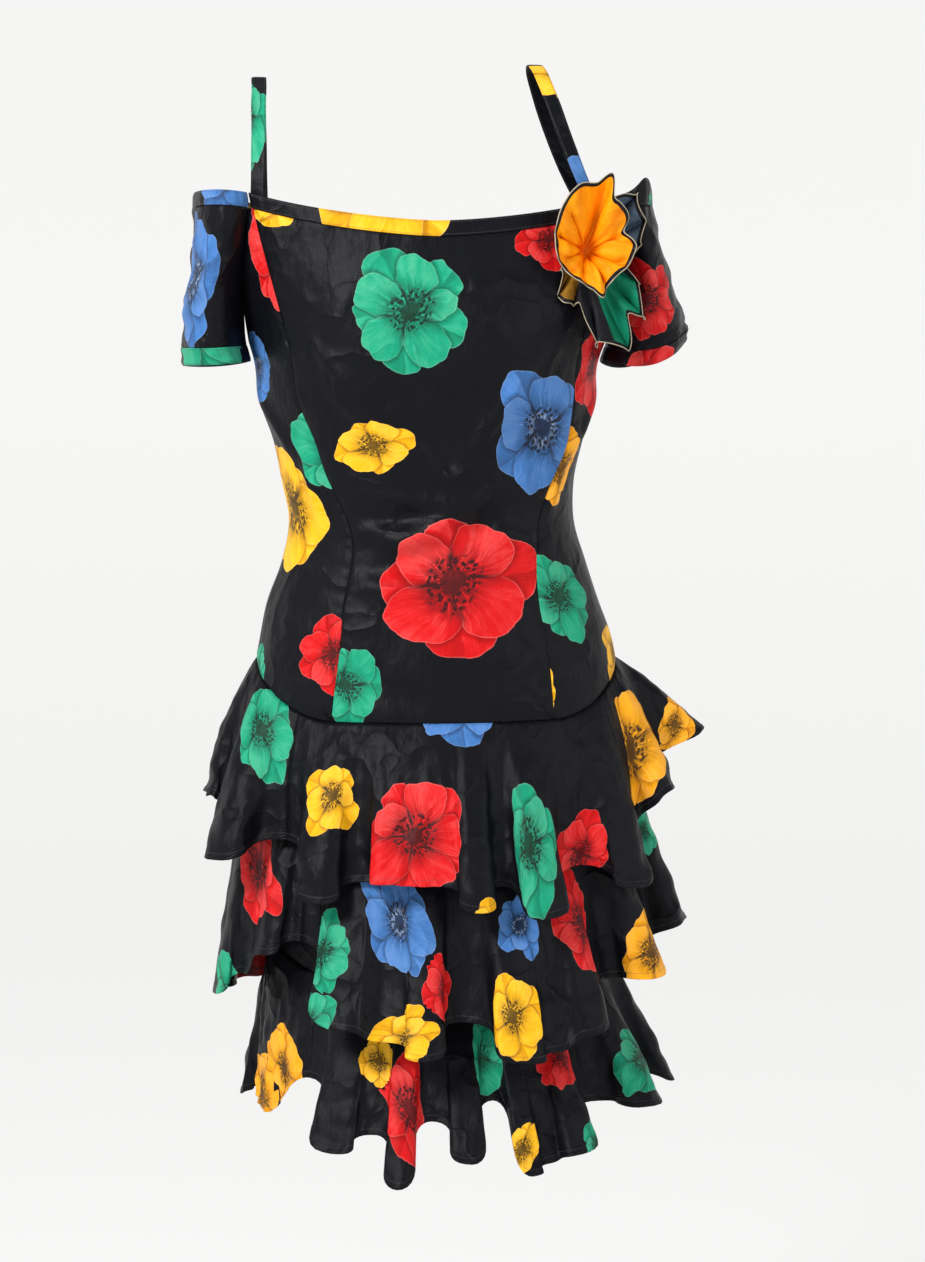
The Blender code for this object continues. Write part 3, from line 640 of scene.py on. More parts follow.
# %% Sleeves
SleeveRow = namedtuple("SleeveRow", "outer_height outer_reach end_height half_depth front_dip")
SLEEVE_RIGHT_ARM = table(SleeveRow, (
    (-0.1105, 0.2105, -0.1130, 0.079, 0.000), (-0.1235, 0.2110, -0.1260, 0.079, 0.000),
    (-0.1500, 0.2105, -0.1500, 0.078, 0.000), (-0.1770, 0.2125, -0.1780, 0.075, 0.000),
    (-0.2030, 0.2175, -0.2050, 0.071, 0.001), (-0.2260, 0.2210, -0.2270, 0.067, 0.002),
    (-0.2465, 0.2215, -0.2440, 0.063, 0.002), (-0.2620, 0.2210, -0.2580, 0.061, 0.002),
))
SLEEVE_LEFT_ARM = table(SleeveRow, (
    (-0.1080, 0.1970, -0.1130, 0.079, 0.000), (-0.1205, 0.1980, -0.1260, 0.079, 0.000),
    (-0.1470, 0.2035, -0.1500, 0.078, 0.002), (-0.1720, 0.2115, -0.1780, 0.075, 0.005),
    (-0.1970, 0.2205, -0.2050, 0.071, 0.008), (-0.2170, 0.2290, -0.2270, 0.067, 0.010),
    (-0.2265, 0.2310, -0.2440, 0.063, 0.012), (-0.2400, 0.2300, -0.2570, 0.061, 0.013),
))
BAND_ROW = 1.0
HEM_ROW = 6.0
CUFF_ROW = 7.0
SLEEVE_END_TUCK = 0.0010
SLEEVE_END_DEPTH = 0.0009
SLEEVE_UNDER_CLEARANCE = 0.0024
SLEEVE_CLOSED_HALF_GAP = 0.0004
BAND_LIFT_AT_FLOWER = 0.011
BAND_LIFT_ANGLE = 62.0
BAND_LIFT_SPREAD = 26.0
BAND_TURN = 236.0
SLEEVE_CLOSING_ROW = 4.0
SLEEVE_CLOSED_ROW = 6.0
SLEEVE_AROUND = 0.30
SLEEVE_LENGTH = 0.135
SLEEVE_MIDDLE = 0.165
SLEEVE_FLATNESS = 0.8
SLEEVE_SEAM_SHARE = 0.2 * SEAM_GAP / BAND_HEIGHT
SLEEVE_TURN_IN = 0.0009
SLEEVE_SEED = 4.0
WRINKLES_AROUND = 6.0
WRINKLES_DOWN = 0.9
SLEEVE_WRINKLE = 0.0030
FINE_WRINKLE = 0.0022
FINE_WRINKLE_RATE = 2.3
SLEEVE_CALM = 0.06
SLEEVE_EDGES = {"hem": None, "top": None, "left": None, "right": None}


def sleeve_surface(side, rows):
    """Worn sleeve: a C-shaped row from the front of the armhole round the arm to its back."""

    def cell(row, column):
        low = min(int(row), len(rows) - 2)
        return mix(getattr(rows[low], column), getattr(rows[low + 1], column), row - low)

    def surface(across, row):
        end_height = cell(row, "end_height")
        edge = body_point(armhole_reader(side, True)(end_height), end_height)
        closed = smooth((row - SLEEVE_CLOSING_ROW) / (SLEEVE_CLOSED_ROW - SLEEVE_CLOSING_ROW))
        edge_x = abs(edge.x) + mix(-SLEEVE_END_TUCK, SLEEVE_UNDER_CLEARANCE, closed)
        edge_depth = max(-edge.y - SLEEVE_END_DEPTH * (1.0 - closed), SLEEVE_CLOSED_HALF_GAP)
        half_depth = cell(row, "half_depth")
        reach = cell(row, "outer_reach")
        end_turn = math.pi - math.asin(min(edge_depth / half_depth, 1.0))
        radius = (reach - edge_x) / (1.0 - math.cos(end_turn))
        turn = mix(-end_turn, end_turn, across)
        round_share = (1.0 - math.cos(turn)) / (1.0 - math.cos(end_turn))
        height = mix(cell(row, "outer_height"), end_height, round_share)
        height -= cell(row, "front_dip") * math.sin(turn) ** 2
        x = reach - radius + radius * math.cos(turn)
        return Vector((side * x, half_depth * math.sin(turn) * side, height))

    return surface


def sleeve_wrinkle(side, across, row):
    spot = Vector((across * WRINKLES_AROUND, row * WRINKLES_DOWN, side * SLEEVE_SEED))
    rise = SLEEVE_WRINKLE * noise.noise(spot) + FINE_WRINKLE * noise.noise(spot * FINE_WRINKLE_RATE)
    return rise * smooth(min(across, 1.0 - across) / SLEEVE_CALM)


def make_sleeve(word, side, rows, slots):
    """The sleeve, its cuff and the band along its top edge, laid on one worn surface."""
    place = sleeve_surface(side, rows)

    def worn(across, row):
        point = place(across, row)
        away = Vector((point.x - side * SLEEVE_MIDDLE, point.y * SLEEVE_FLATNESS, 0.0))
        return point, away.normalized()

    def sleeve(across, up):
        row = mix(HEM_ROW, BAND_ROW + SLEEVE_SEAM_SHARE, up)
        point, outward = worn(across, row)
        rise = sleeve_wrinkle(side, across, row)
        for share in (1.0 - up, up):
            rise -= SLEEVE_TURN_IN * math.exp(-((share * SLEEVE_LENGTH / SEAM_TURN_WIDTH) ** 2))
        return point + outward * rise

    def cuff(across, up):
        row = mix(CUFF_ROW, HEM_ROW + SLEEVE_SEAM_SHARE, up)
        point, outward = worn(across, row)
        return point + outward * (sleeve_wrinkle(side, across, row) + band_roll(1.0 - up, BAND_HEIGHT))

    def band(across, up):
        row = mix(BAND_ROW, 0.0, up)
        point, outward = worn(across, row)
        if side > 0 and across < 0.5:
            turn = (0.5 - across) * BAND_TURN
            lift = math.exp(-((turn - BAND_LIFT_ANGLE) / BAND_LIFT_SPREAD) ** 2)
            point.z += BAND_LIFT_AT_FLOWER * lift * up
        return point + outward * band_roll(up, BAND_HEIGHT)

    across = marks(SLEEVE_AROUND, CELL)
    lay_cloth("sleeve_" + word, across, marks(SLEEVE_LENGTH, CELL, SEAM_STEPS), sleeve, level_cut,
              SLEEVE_EDGES)
    for name, surface, slot in (("cuff_", cuff, slots[0]), ("sleeve_band_", band, slots[1])):
        lay_cloth(name + word, across, marks(BAND_HEIGHT, BAND_CELL, BAND_MARKS), surface, level_cut,
                  BAND_EDGES, slot, "folded")


make_sleeve("right", -1, SLEEVE_RIGHT_ARM, ("green_cotton", "blue_cotton"))
make_sleeve("left", 1, SLEEVE_LEFT_ARM, ("red_cotton", "printed_cotton"))
sleeve_reach = max(vertex.co.x for vertex in cloths["sleeve_left"].piece.data.vertices)
print("the left sleeve reaches", round(sleeve_reach, 3), "m to the side")

# %% [markdown]
# The straps are narrow tubes pressed flat. They rise behind the front band, arch over the
# shoulder and go down behind the back band. A curve with a flat section could twist, so the
# strip's own width is turned at each step instead.

# %% Straps
Strap = namedtuple("Strap", "name side front_angle back_angle crest_x crest_height")
STRAPS = (
    Strap("strap_right", -1, 50.0, 133.0, -0.1515, -0.0080),
    Strap("strap_left", 1, 43.0, 131.0, 0.0930, 0.0050),
)
STRAP_WIDTH = 0.0130
STRAP_SWEEP = 0.8
STRAP_OVERLAP = 0.0090
STRAP_BEHIND_BAND = 0.0024
STRAP_RECESS = 0.0001
STRAP_STITCH = 0.0014
STRAP_CELL = 0.0016
STRAP_LENGTH = 0.30
STRAP_CROWN = 0.0004
STRAP_SWAY = 0.0006
STRAP_SWAY_RATE = 9.0
STRAP_SEED = 3.0


def make_strap(strap):
    """Flat strap, turned along the body at both feet and level over the shoulder."""
    low = SLEEVE_TOP + BAND_HEIGHT - STRAP_OVERLAP
    inside = -STRAP_BEHIND_BAND - STRAP_RECESS
    crest_width = Vector((1.0, 0.0, 0.0))
    feet = []
    for angle, turned in ((strap.front_angle, 1.0), (strap.back_angle, -1.0)):
        angle *= strap.side
        along_body = body_point(angle + 1.0, low) - body_point(angle - 1.0, low)
        feet.append((body_point(angle, low, inside), along_body.normalized() * turned))

    def surface(across, along):
        turn = math.pi * along
        rise = math.sin(turn)
        foot, foot_width = feet[0] if along < 0.5 else feet[1]
        x = mix(foot.x, strap.crest_x, rise ** STRAP_SWEEP)
        y = foot.y * abs(math.cos(turn))
        z = mix(low, strap.crest_height, rise)
        width = crest_width.lerp(foot_width, smooth(1.0 - rise)).normalized()
        crown = STRAP_CROWN * (1.0 - (2.0 * across - 1.0) ** 4)
        spot = Vector((along * STRAP_SWAY_RATE, strap.side * STRAP_SEED, 0.0))
        sway = STRAP_SWAY * noise.noise(spot)
        return Vector((x + sway, y, z + crown * rise)) + width * STRAP_WIDTH * (across - 0.5)

    lay_cloth(strap.name, marks(STRAP_WIDTH, STRAP_CELL), marks(STRAP_LENGTH, CELL), surface, strip_cut,
              {"left": STRAP_STITCH, "right": STRAP_STITCH}, held="folded")


def strip_cut(places, columns, rows):
    """Flat place of each corner of a strip: across it and along its middle."""
    along = run_lengths([places[columns // 2, row] for row in range(rows + 1)])
    flat = {}
    for row in range(rows + 1):
        across = run_lengths([places[column, row] for column in range(columns + 1)])
        for column in range(columns + 1):
            flat[column, row] = (across[column] - across[-1] / 2, along[row])
    return flat


for strap in STRAPS:
    make_strap(strap)
    crest = max(vertex.co.z for vertex in cloths[strap.name].piece.data.vertices)
    print(strap.name, "rises to", round(crest, 3), "m")

# %% [markdown]
# The flounces are cut as parts of a ring: short at the seam, long at the hem, so the spare cloth
# falls in flutes. Each row below is the crest or the bottom of one flute, read from the
# photograph in front and carried on unevenly round the back.

# %% Flute tables
Fold = namedtuple("Fold", "place angle reach hem")
UPPER_FOLDS = table(Fold, (
    (-180, -180, 0.032, -0.666), (-167, -166, 0.060, -0.676), (-154, -153, 0.028, -0.664),
    (-140, -139, 0.062, -0.672), (-125, -124, 0.028, -0.658), (-110, -109, 0.058, -0.656),
    (-99, -100, 0.032, -0.646), (-88, -89, 0.043, -0.643), (-79, -77, 0.030, -0.652),
    (-66, -66, 0.072, -0.692), (-49, -49, 0.026, -0.674), (-35, -34, 0.062, -0.722),
    (-25, -24, 0.028, -0.706), (-17, -17, 0.050, -0.704), (-3, -3, 0.048, -0.706),
    (8, 8, 0.064, -0.727), (15, 15, 0.031, -0.710), (22, 22, 0.067, -0.734), (39, 40, 0.028, -0.698),
    (56, 57, 0.062, -0.719), (67, 67, 0.030, -0.668), (76, 77, 0.056, -0.640), (86, 87, 0.036, -0.618),
    (97, 97, 0.086, -0.593), (110, 111, 0.032, -0.628), (122, 122, 0.060, -0.656),
    (134, 134, 0.028, -0.656), (146, 146, 0.060, -0.668), (157, 157, 0.030, -0.662),
    (168, 168, 0.056, -0.674), (180, 180, 0.032, -0.666),
))
MIDDLE_FOLDS = table(Fold, (
    (-180, -180, 0.034, -0.832), (-166, -166, 0.065, -0.844), (-152, -152, 0.032, -0.830),
    (-138, -138, 0.062, -0.840), (-124, -124, 0.030, -0.826), (-110, -110, 0.056, -0.830),
    (-97, -97, 0.036, -0.822), (-80, -80, 0.057, -0.820), (-64, -64, 0.044, -0.796),
    (-55, -55, 0.050, -0.774), (-45, -45, 0.030, -0.762), (-30, -28, 0.070, -0.828),
    (-17, -16, 0.062, -0.838), (-6, -6, 0.082, -0.850), (3, 3, 0.042, -0.825), (19, 19, 0.090, -0.854),
    (26, 26, 0.078, -0.848), (34, 34, 0.084, -0.836), (50, 50, 0.034, -0.802), (62, 63, 0.073, -0.801),
    (72, 72, 0.040, -0.780), (83, 84, 0.080, -0.763), (97, 97, 0.036, -0.784),
    (111, 111, 0.064, -0.815), (125, 125, 0.032, -0.820), (139, 139, 0.066, -0.835),
    (152, 152, 0.033, -0.828), (166, 166, 0.064, -0.842), (180, 180, 0.034, -0.832),
))
LOWER_FOLDS = table(Fold, (
    (-180, -180, 0.034, -0.930), (-165, -165, 0.060, -0.944), (-150, -150, 0.030, -0.930),
    (-136, -136, 0.060, -0.941), (-122, -122, 0.030, -0.925), (-108, -108, 0.042, -0.930),
    (-93, -93, 0.018, -0.918), (-70, -70, 0.024, -0.926), (-46, -45, 0.026, -0.884),
    (-31, -31, 0.070, -0.937), (-20, -20, 0.050, -0.923), (-12, -13, 0.086, -0.960),
    (-4, -5, 0.040, -0.912), (5, 5, 0.076, -0.941), (13, 13, 0.034, -0.896), (20, 20, 0.082, -0.954),
    (26, 26, 0.070, -0.948), (33, 33, 0.080, -0.940), (47, 48, 0.030, -0.912), (64, 65, 0.075, -0.917),
    (75, 76, 0.042, -0.900), (86, 87, 0.079, -0.912), (100, 100, 0.030, -0.908),
    (114, 114, 0.054, -0.925), (128, 128, 0.030, -0.922), (141, 141, 0.058, -0.938),
    (154, 154, 0.030, -0.928), (167, 167, 0.060, -0.943), (180, 180, 0.034, -0.930),
))
print(len(UPPER_FOLDS), len(MIDDLE_FOLDS), len(LOWER_FOLDS), "crests and valleys")

# %% [markdown]
# Between two rows the cloth turns round smoothly, and it swings back a little under each crest,
# as a real flute does. Smaller creases run down from the seam, and the hem is turned up twice
# and stitched, which leaves a thicker edge.

# %% Flounces
FOLD_SQUARENESS = 0.85
FULL_FOLD_DEPTH = 0.016
FLUTE_TUCK = 0.50
SEAM_ROWS = 0.0005
FLOUNCE_BOW = 0.004
HEM_FOLD = 0.0065
HEM_STEPS = (0.0012, 0.0052, 0.0066, 0.0078)
HEM_STITCH = 0.0057
HEM_THICKNESS = 0.0004
HEM_STEP_SHARE = 0.12
FLOUNCE_CALM = 0.03
FLOUNCE_TURN_IN = 0.0008
FLOUNCE_TURN_WIDTH = 0.0020
Crease = namedtuple("Crease", "rise rate seeds drift start")
CREASES = table(Crease, (
    (0.0048, 9.0, 1.0, 1.3, 0.0),
    (0.0026, 24.0, 1.0, 3.1, 0.2),
    (0.0036, 14.0, 2.0, 9.0, 0.0),
))
GATHER_RISE = 0.0014
GATHER_RATE = 40.0
GATHER_LENGTH = 0.018
FLUTE_STEPS = 14


def fold_value(folds, position, down):
    """Angle, place, reach and hem height at a position counted in table rows."""
    low = min(int(position), len(folds) - 2)
    share = position - low
    first = folds[low]
    second = folds[low + 1]
    eased = 0.5 - 0.5 * math.cos(math.pi * share)
    square = FOLD_SQUARENESS + FLUTE_TUCK * smooth(down)
    square *= smooth(abs(second.reach - first.reach) / FULL_FOLD_DEPTH)
    bent = share + square * math.sin(2.0 * math.pi * share) / (2.0 * math.pi)
    return (
        mix(first.place, second.place, share),
        mix(first.angle, second.angle, bent),
        mix(first.reach, second.reach, eased),
        mix(first.hem, second.hem, eased),
    )


def ring_noise(turn, rate, depth):
    """Noise read round a circle, so that it closes on itself."""
    return noise.noise(Vector((math.cos(turn) * rate, math.sin(turn) * rate, depth)))


def flounce_crease(place, down, long, seed):
    """Creases that run down the cloth and open towards the hem, and small gathers on the seam."""
    turn = math.radians(90.0 - place)
    total = GATHER_RISE * ring_noise(turn, GATHER_RATE, seed) * math.exp(-down * long / GATHER_LENGTH)
    for crease in CREASES:
        ring = ring_noise(turn, crease.rate, seed * crease.seeds + down * crease.drift)
        total += crease.rise * ring * (crease.start + down)
    return total


def make_flounce(tier):
    """A front piece between two seams, counted in table rows, and a back piece on each side that
    reaches the centre back."""
    hem_share = HEM_FOLD / tier.long

    def flounce(start, end):
        def surface(across, up):
            down = 1.0 - up
            place, angle, reach, hem = fold_value(tier.folds, mix(start, end, across), down)
            height = mix(tier.seam_height(place) - SEAM_GAP, hem, down)
            out = reach * down ** tier.opening_out + FLOUNCE_BOW * math.sin(math.pi * down)
            calm = smooth(min(across, 1.0 - across) / FLOUNCE_CALM)
            out += flounce_crease(place, down, tier.long, tier.seed) * calm
            out -= FLOUNCE_TURN_IN * math.exp(-((down * tier.long / FLOUNCE_TURN_WIDTH) ** 2))
            out += HEM_THICKNESS * smooth((down - 1.0 + hem_share) / (hem_share * HEM_STEP_SHARE))
            return body_point(mix(place, angle, down), height, out)
        return surface

    pieces = (
        ("_front", tier.first_seam, tier.second_seam),
        ("_back_right", 0, tier.first_seam),
        ("_back_left", tier.second_seam, len(tier.folds) - 1),
    )
    for word, start, end in pieces:
        columns = (end - start) * FLUTE_STEPS
        across = [index / columns for index in range(columns + 1)]
        up = marks(tier.long, CELL, HEM_STEPS, True, False)
        lay_cloth(tier.name + word, across, up, flounce(start + SEAM_ROWS, end - SEAM_ROWS), ring_cut,
                  {"hem": HEM_STITCH, "top": None})


Tier = namedtuple("Tier", "name folds first_seam second_seam seam_height opening_out long seed")
TIERS = table(Tier, (
    ("flounce_upper", UPPER_FOLDS, 10, 20, hip_height, 1.0, 0.16, 1.7),
    ("flounce_middle", MIDDLE_FOLDS, 10, 20, middle_height, 1.15, 0.20, 5.3),
    ("flounce_lower", LOWER_FOLDS, 8, 20, lower_height, 1.15, 0.15, 9.1),
))
for tier in TIERS:
    make_flounce(tier)
flounces = [cloth for name, cloth in cloths.items() if name.startswith("flounce")]
print(sum(len(cloth.piece.data.polygons) for cloth in flounces), "cells in", len(flounces), "flounce pieces")

# %% [markdown]
# The underskirt hardly shows. It is a plain narrow skirt that the lower flounces are sewn to, in
# two halves with side seams, and it only needs the same cloth and a few shallow waves.

# %% Underskirt
UNDERSKIRT_INSIDE = -0.0021
UNDERSKIRT_WRINKLE = (8.0, 16.0, 0.0008)
UNDERSKIRT_WIDTH = 0.42
UNDERSKIRT_LENGTH = 0.26
UNDERSKIRT_CELL = CELL * 1.6
UNDERSKIRT_MARKS = (0.006,)


def underskirt_half(start):
    def surface(across, up):
        edge = seam_turn(90.0, HIP_SIDE)
        angle = start + mix(edge, 180.0 - edge, across)
        turned = angle if angle <= 180.0 else angle - 360.0
        top = hip_height(turned) - SEAM_GAP
        height = mix(lower_height(turned) - UNDERSKIRT_EXTRA, top, up)
        wave = soft_wrinkle(turned, height, *UNDERSKIRT_WRINKLE)
        return body_point(turned, height, UNDERSKIRT_INSIDE + wave)
    return surface


for word, start in (("front", -90.0), ("back", 90.0)):
    lay_cloth("underskirt_" + word, marks(UNDERSKIRT_WIDTH, UNDERSKIRT_CELL),
              marks(UNDERSKIRT_LENGTH, UNDERSKIRT_CELL, UNDERSKIRT_MARKS), underskirt_half(start), level_cut,
              {"hem": HEM_FOLD, "left": None, "right": None})
print("underskirt laid in two halves")

# %% [markdown]
# The cloth flower is a gathered circle of yellow cotton, bound in black satin with a pale
# outer thread, over ruffles of other colours. A simulation would bunch it at random; here the deep
# folds are named by their direction, so the cleft and the turned corners fall where they should.

# %% Cloth flower tables
FLOWER_ANGLE = 42.0
FLOWER_HEIGHT = -0.1640
FLOWER_FACING = 0.55
Petal = namedtuple("Petal", "angle reach")
BLOOM_PETALS = table(Petal, (
    (0, 0.0435), (6, 0.0442), (27, 0.0368), (38, 0.0477), (54, 0.0500), (64, 0.0520), (72, 0.0690),
    (82, 0.0590), (98, 0.0572), (121, 0.0463), (160, 0.0337), (190, 0.0310), (217, 0.0286),
    (257, 0.0290), (276, 0.0350), (287, 0.0430), (298, 0.0360), (321, 0.0344), (349, 0.0410),
    (360, 0.0435),
))
FRILL_PETALS = table(Petal, (
    (0, 0.0500), (20, 0.0610), (40, 0.0690), (53, 0.0710), (64, 0.0560), (78, 0.0400), (110, 0.0300),
    (170, 0.0260), (205, 0.0270), (224, 0.0340), (243, 0.0530), (261, 0.0500), (271, 0.0740),
    (284, 0.0920), (298, 0.0940), (305, 0.0740), (313, 0.0820), (322, 0.0730), (331, 0.0600),
    (342, 0.0430), (351, 0.0420), (360, 0.0500),
))
BLOOM_STAND = 0.030
FRILL_STAND = 0.0170
FLOWER_EYE = 0.10
FLOWER_CLOSED = 0.999
Gather = namedtuple("Gather", "angle lift")
BLOOM_GATHERS = table(Gather, (
    (0, 0.05), (16, 0.24), (32, -0.26), (52, 0.24), (72, 0.20), (86, -0.36), (106, 0.24), (140, 0.10),
    (160, -0.22), (190, 0.20), (222, -0.24), (250, 0.16), (268, -0.32), (284, 0.34), (304, -0.28),
    (332, 0.20), (347, -0.14), (360, 0.05),
))
Ruffling = namedtuple("Ruffling", "waves height swing shorten deepest spread crumple full_reach")
BLOOM_RUFFLING = Ruffling(8, 0.0062, 0.240, 0.06, 0.50, 0.36, 0.0040, 0.020)
FRILL_RUFFLING = Ruffling(19, 0.0062, 0.095, 0.17, 0.95, 0.40, 0.0022, 0.075)
BLOOM_CURL = 0.75
FRILL_CURL = 1.2
RUFFLE_START = 0.2
UNEVEN_LEAST = 0.7
UNEVEN_SWING = 0.6
UNEVEN_RATE = 2.1
UNEVEN_SHIFT = 90.0
PHASE_SWING = 0.8
EDGE_CRUMPLE_RATE = 3.0
EDGE_CRUMPLE_DRIFT = 4.0
GATHER_AT_RIM = 0.30
GATHER_FADE = 1.6
GATHER_KEPT = 0.3
BLOOM_CLEARANCE = 0.0007
FLOWER_STEP = 0.0015
BLOOM_STEP = 2.0 * FLOWER_STEP + BLOOM_CLEARANCE
FLOWER_COLUMNS = 420
FRILL_LENGTH = 0.06
FRILL_CELL = 0.0024
BLOOM_LENGTH = 0.05
BLOOM_CELL = 0.0022
RIM_STEPS = (0.0006, 0.0012, 0.0024, 0.0036, 0.0044, 0.0056)
EYE_RUN = 0.004
FRONT = Vector((0.0, -1.0, 0.0))


def flower_surface(petals, gathers, ruffling, base, facing, stand, curl):
    """Gathered circle: flat at the eye, standing out to the front, folded over itself in ruffles
    that are strongest at their deepest share of the way to the edge."""
    right = Vector((0.0, 0.0, 1.0)).cross(facing).normalized()
    up_axis = facing.cross(right).normalized()

    def surface(across, up):
        if up > FLOWER_CLOSED:
            return base.copy()
        share = mix(1.0, FLOWER_EYE, up)
        opened = (share - FLOWER_EYE) / (1.0 - FLOWER_EYE)
        angle = 360.0 * across
        turn = math.radians(angle)
        depth = math.exp(-(((share - ruffling.deepest) / ruffling.spread) ** 2))
        depth *= smooth(opened / RUFFLE_START)
        uneven = UNEVEN_LEAST + UNEVEN_SWING * ring_noise(turn, UNEVEN_RATE, stand * UNEVEN_SHIFT)
        phase = ruffling.waves * turn + PHASE_SWING * math.sin(2.0 * turn + 1.0)
        bent = turn + ruffling.swing * uneven * depth * math.sin(phase)
        reach = curve_through(petals, "angle", math.degrees(bent) % 360.0, "reach")
        lift = curve_through(gathers, "angle", angle, "lift") if gathers else 0.0
        crumple = ring_noise(turn, EDGE_CRUMPLE_RATE, share * EDGE_CRUMPLE_DRIFT)
        raised = 1.0 + lift * mix(GATHER_AT_RIM, 1.0, smooth(GATHER_FADE * (1.0 - share) + GATHER_KEPT))
        ahead = stand * opened ** curl * raised
        ahead += ruffling.height * depth * math.cos(phase) + ruffling.crumple * crumple * opened
        ahead *= min(reach / ruffling.full_reach, 1.0)
        reach *= 1.0 - ruffling.shorten * uneven * depth * (0.5 + 0.5 * math.cos(phase))
        flat = right * math.cos(bent) + up_axis * math.sin(bent)
        return base + flat * reach * share + FRONT * ahead

    return surface


def circle_cut(places, columns, rows):
    """Flat place of each corner of a gathered circle: its run from the eye, at its own turn."""
    flat = {}
    for column in range(columns + 1):
        runs = run_lengths([places[column, row] for row in range(rows, -1, -1)])
        turn = 2.0 * math.pi * column / columns
        for row in range(rows + 1):
            run = runs[rows - row] + EYE_RUN
            flat[column, row] = (run * math.cos(turn), run * math.sin(turn))
    return flat


anchor = body_point(FLOWER_ANGLE, FLOWER_HEIGHT)
outward = body_point(FLOWER_ANGLE, FLOWER_HEIGHT, 1.0) - anchor
flower_facing = FRONT.lerp(outward, FLOWER_FACING).normalized()
frill = flower_surface(FRILL_PETALS, (), FRILL_RUFFLING, anchor + flower_facing * FLOWER_STEP,
                       flower_facing, FRILL_STAND, FRILL_CURL)
bloom = flower_surface(BLOOM_PETALS, BLOOM_GATHERS, BLOOM_RUFFLING, anchor + flower_facing * BLOOM_STEP,
                       flower_facing, BLOOM_STAND, BLOOM_CURL)
around = [index / FLOWER_COLUMNS for index in range(FLOWER_COLUMNS + 1)]
frill_rows = marks(FRILL_LENGTH, FRILL_CELL, RIM_STEPS, True, False)
bloom_rows = marks(BLOOM_LENGTH, BLOOM_CELL, RIM_STEPS, True, False)
lay_cloth("flower_frill", around, frill_rows, frill, circle_cut, {"hem": None}, "green_cotton",
          "gathered", closed=True)
lay_cloth("flower_bloom", around, bloom_rows, bloom, circle_cut, {"hem": None}, "yellow_cotton",
          "gathered", closed=True)
print("cloth flower faces", [round(number, 2) for number in flower_facing])

# %% [markdown]
# The print shows large single flowers in red, green, yellow and blue, scattered on black. The
# cloth was printed before it was cut, so a flower stops dead at a seam. Each row below names the
# picture point where a flower meets the cloth, how far its heart lies from there on the flat cut
# in millimetres, its half width and half height in millimetres, its petals in each of two
# layers, its colour and its turn. They are ordinary garden flowers made by the shader; only their
# places, sizes and colours follow the photograph.

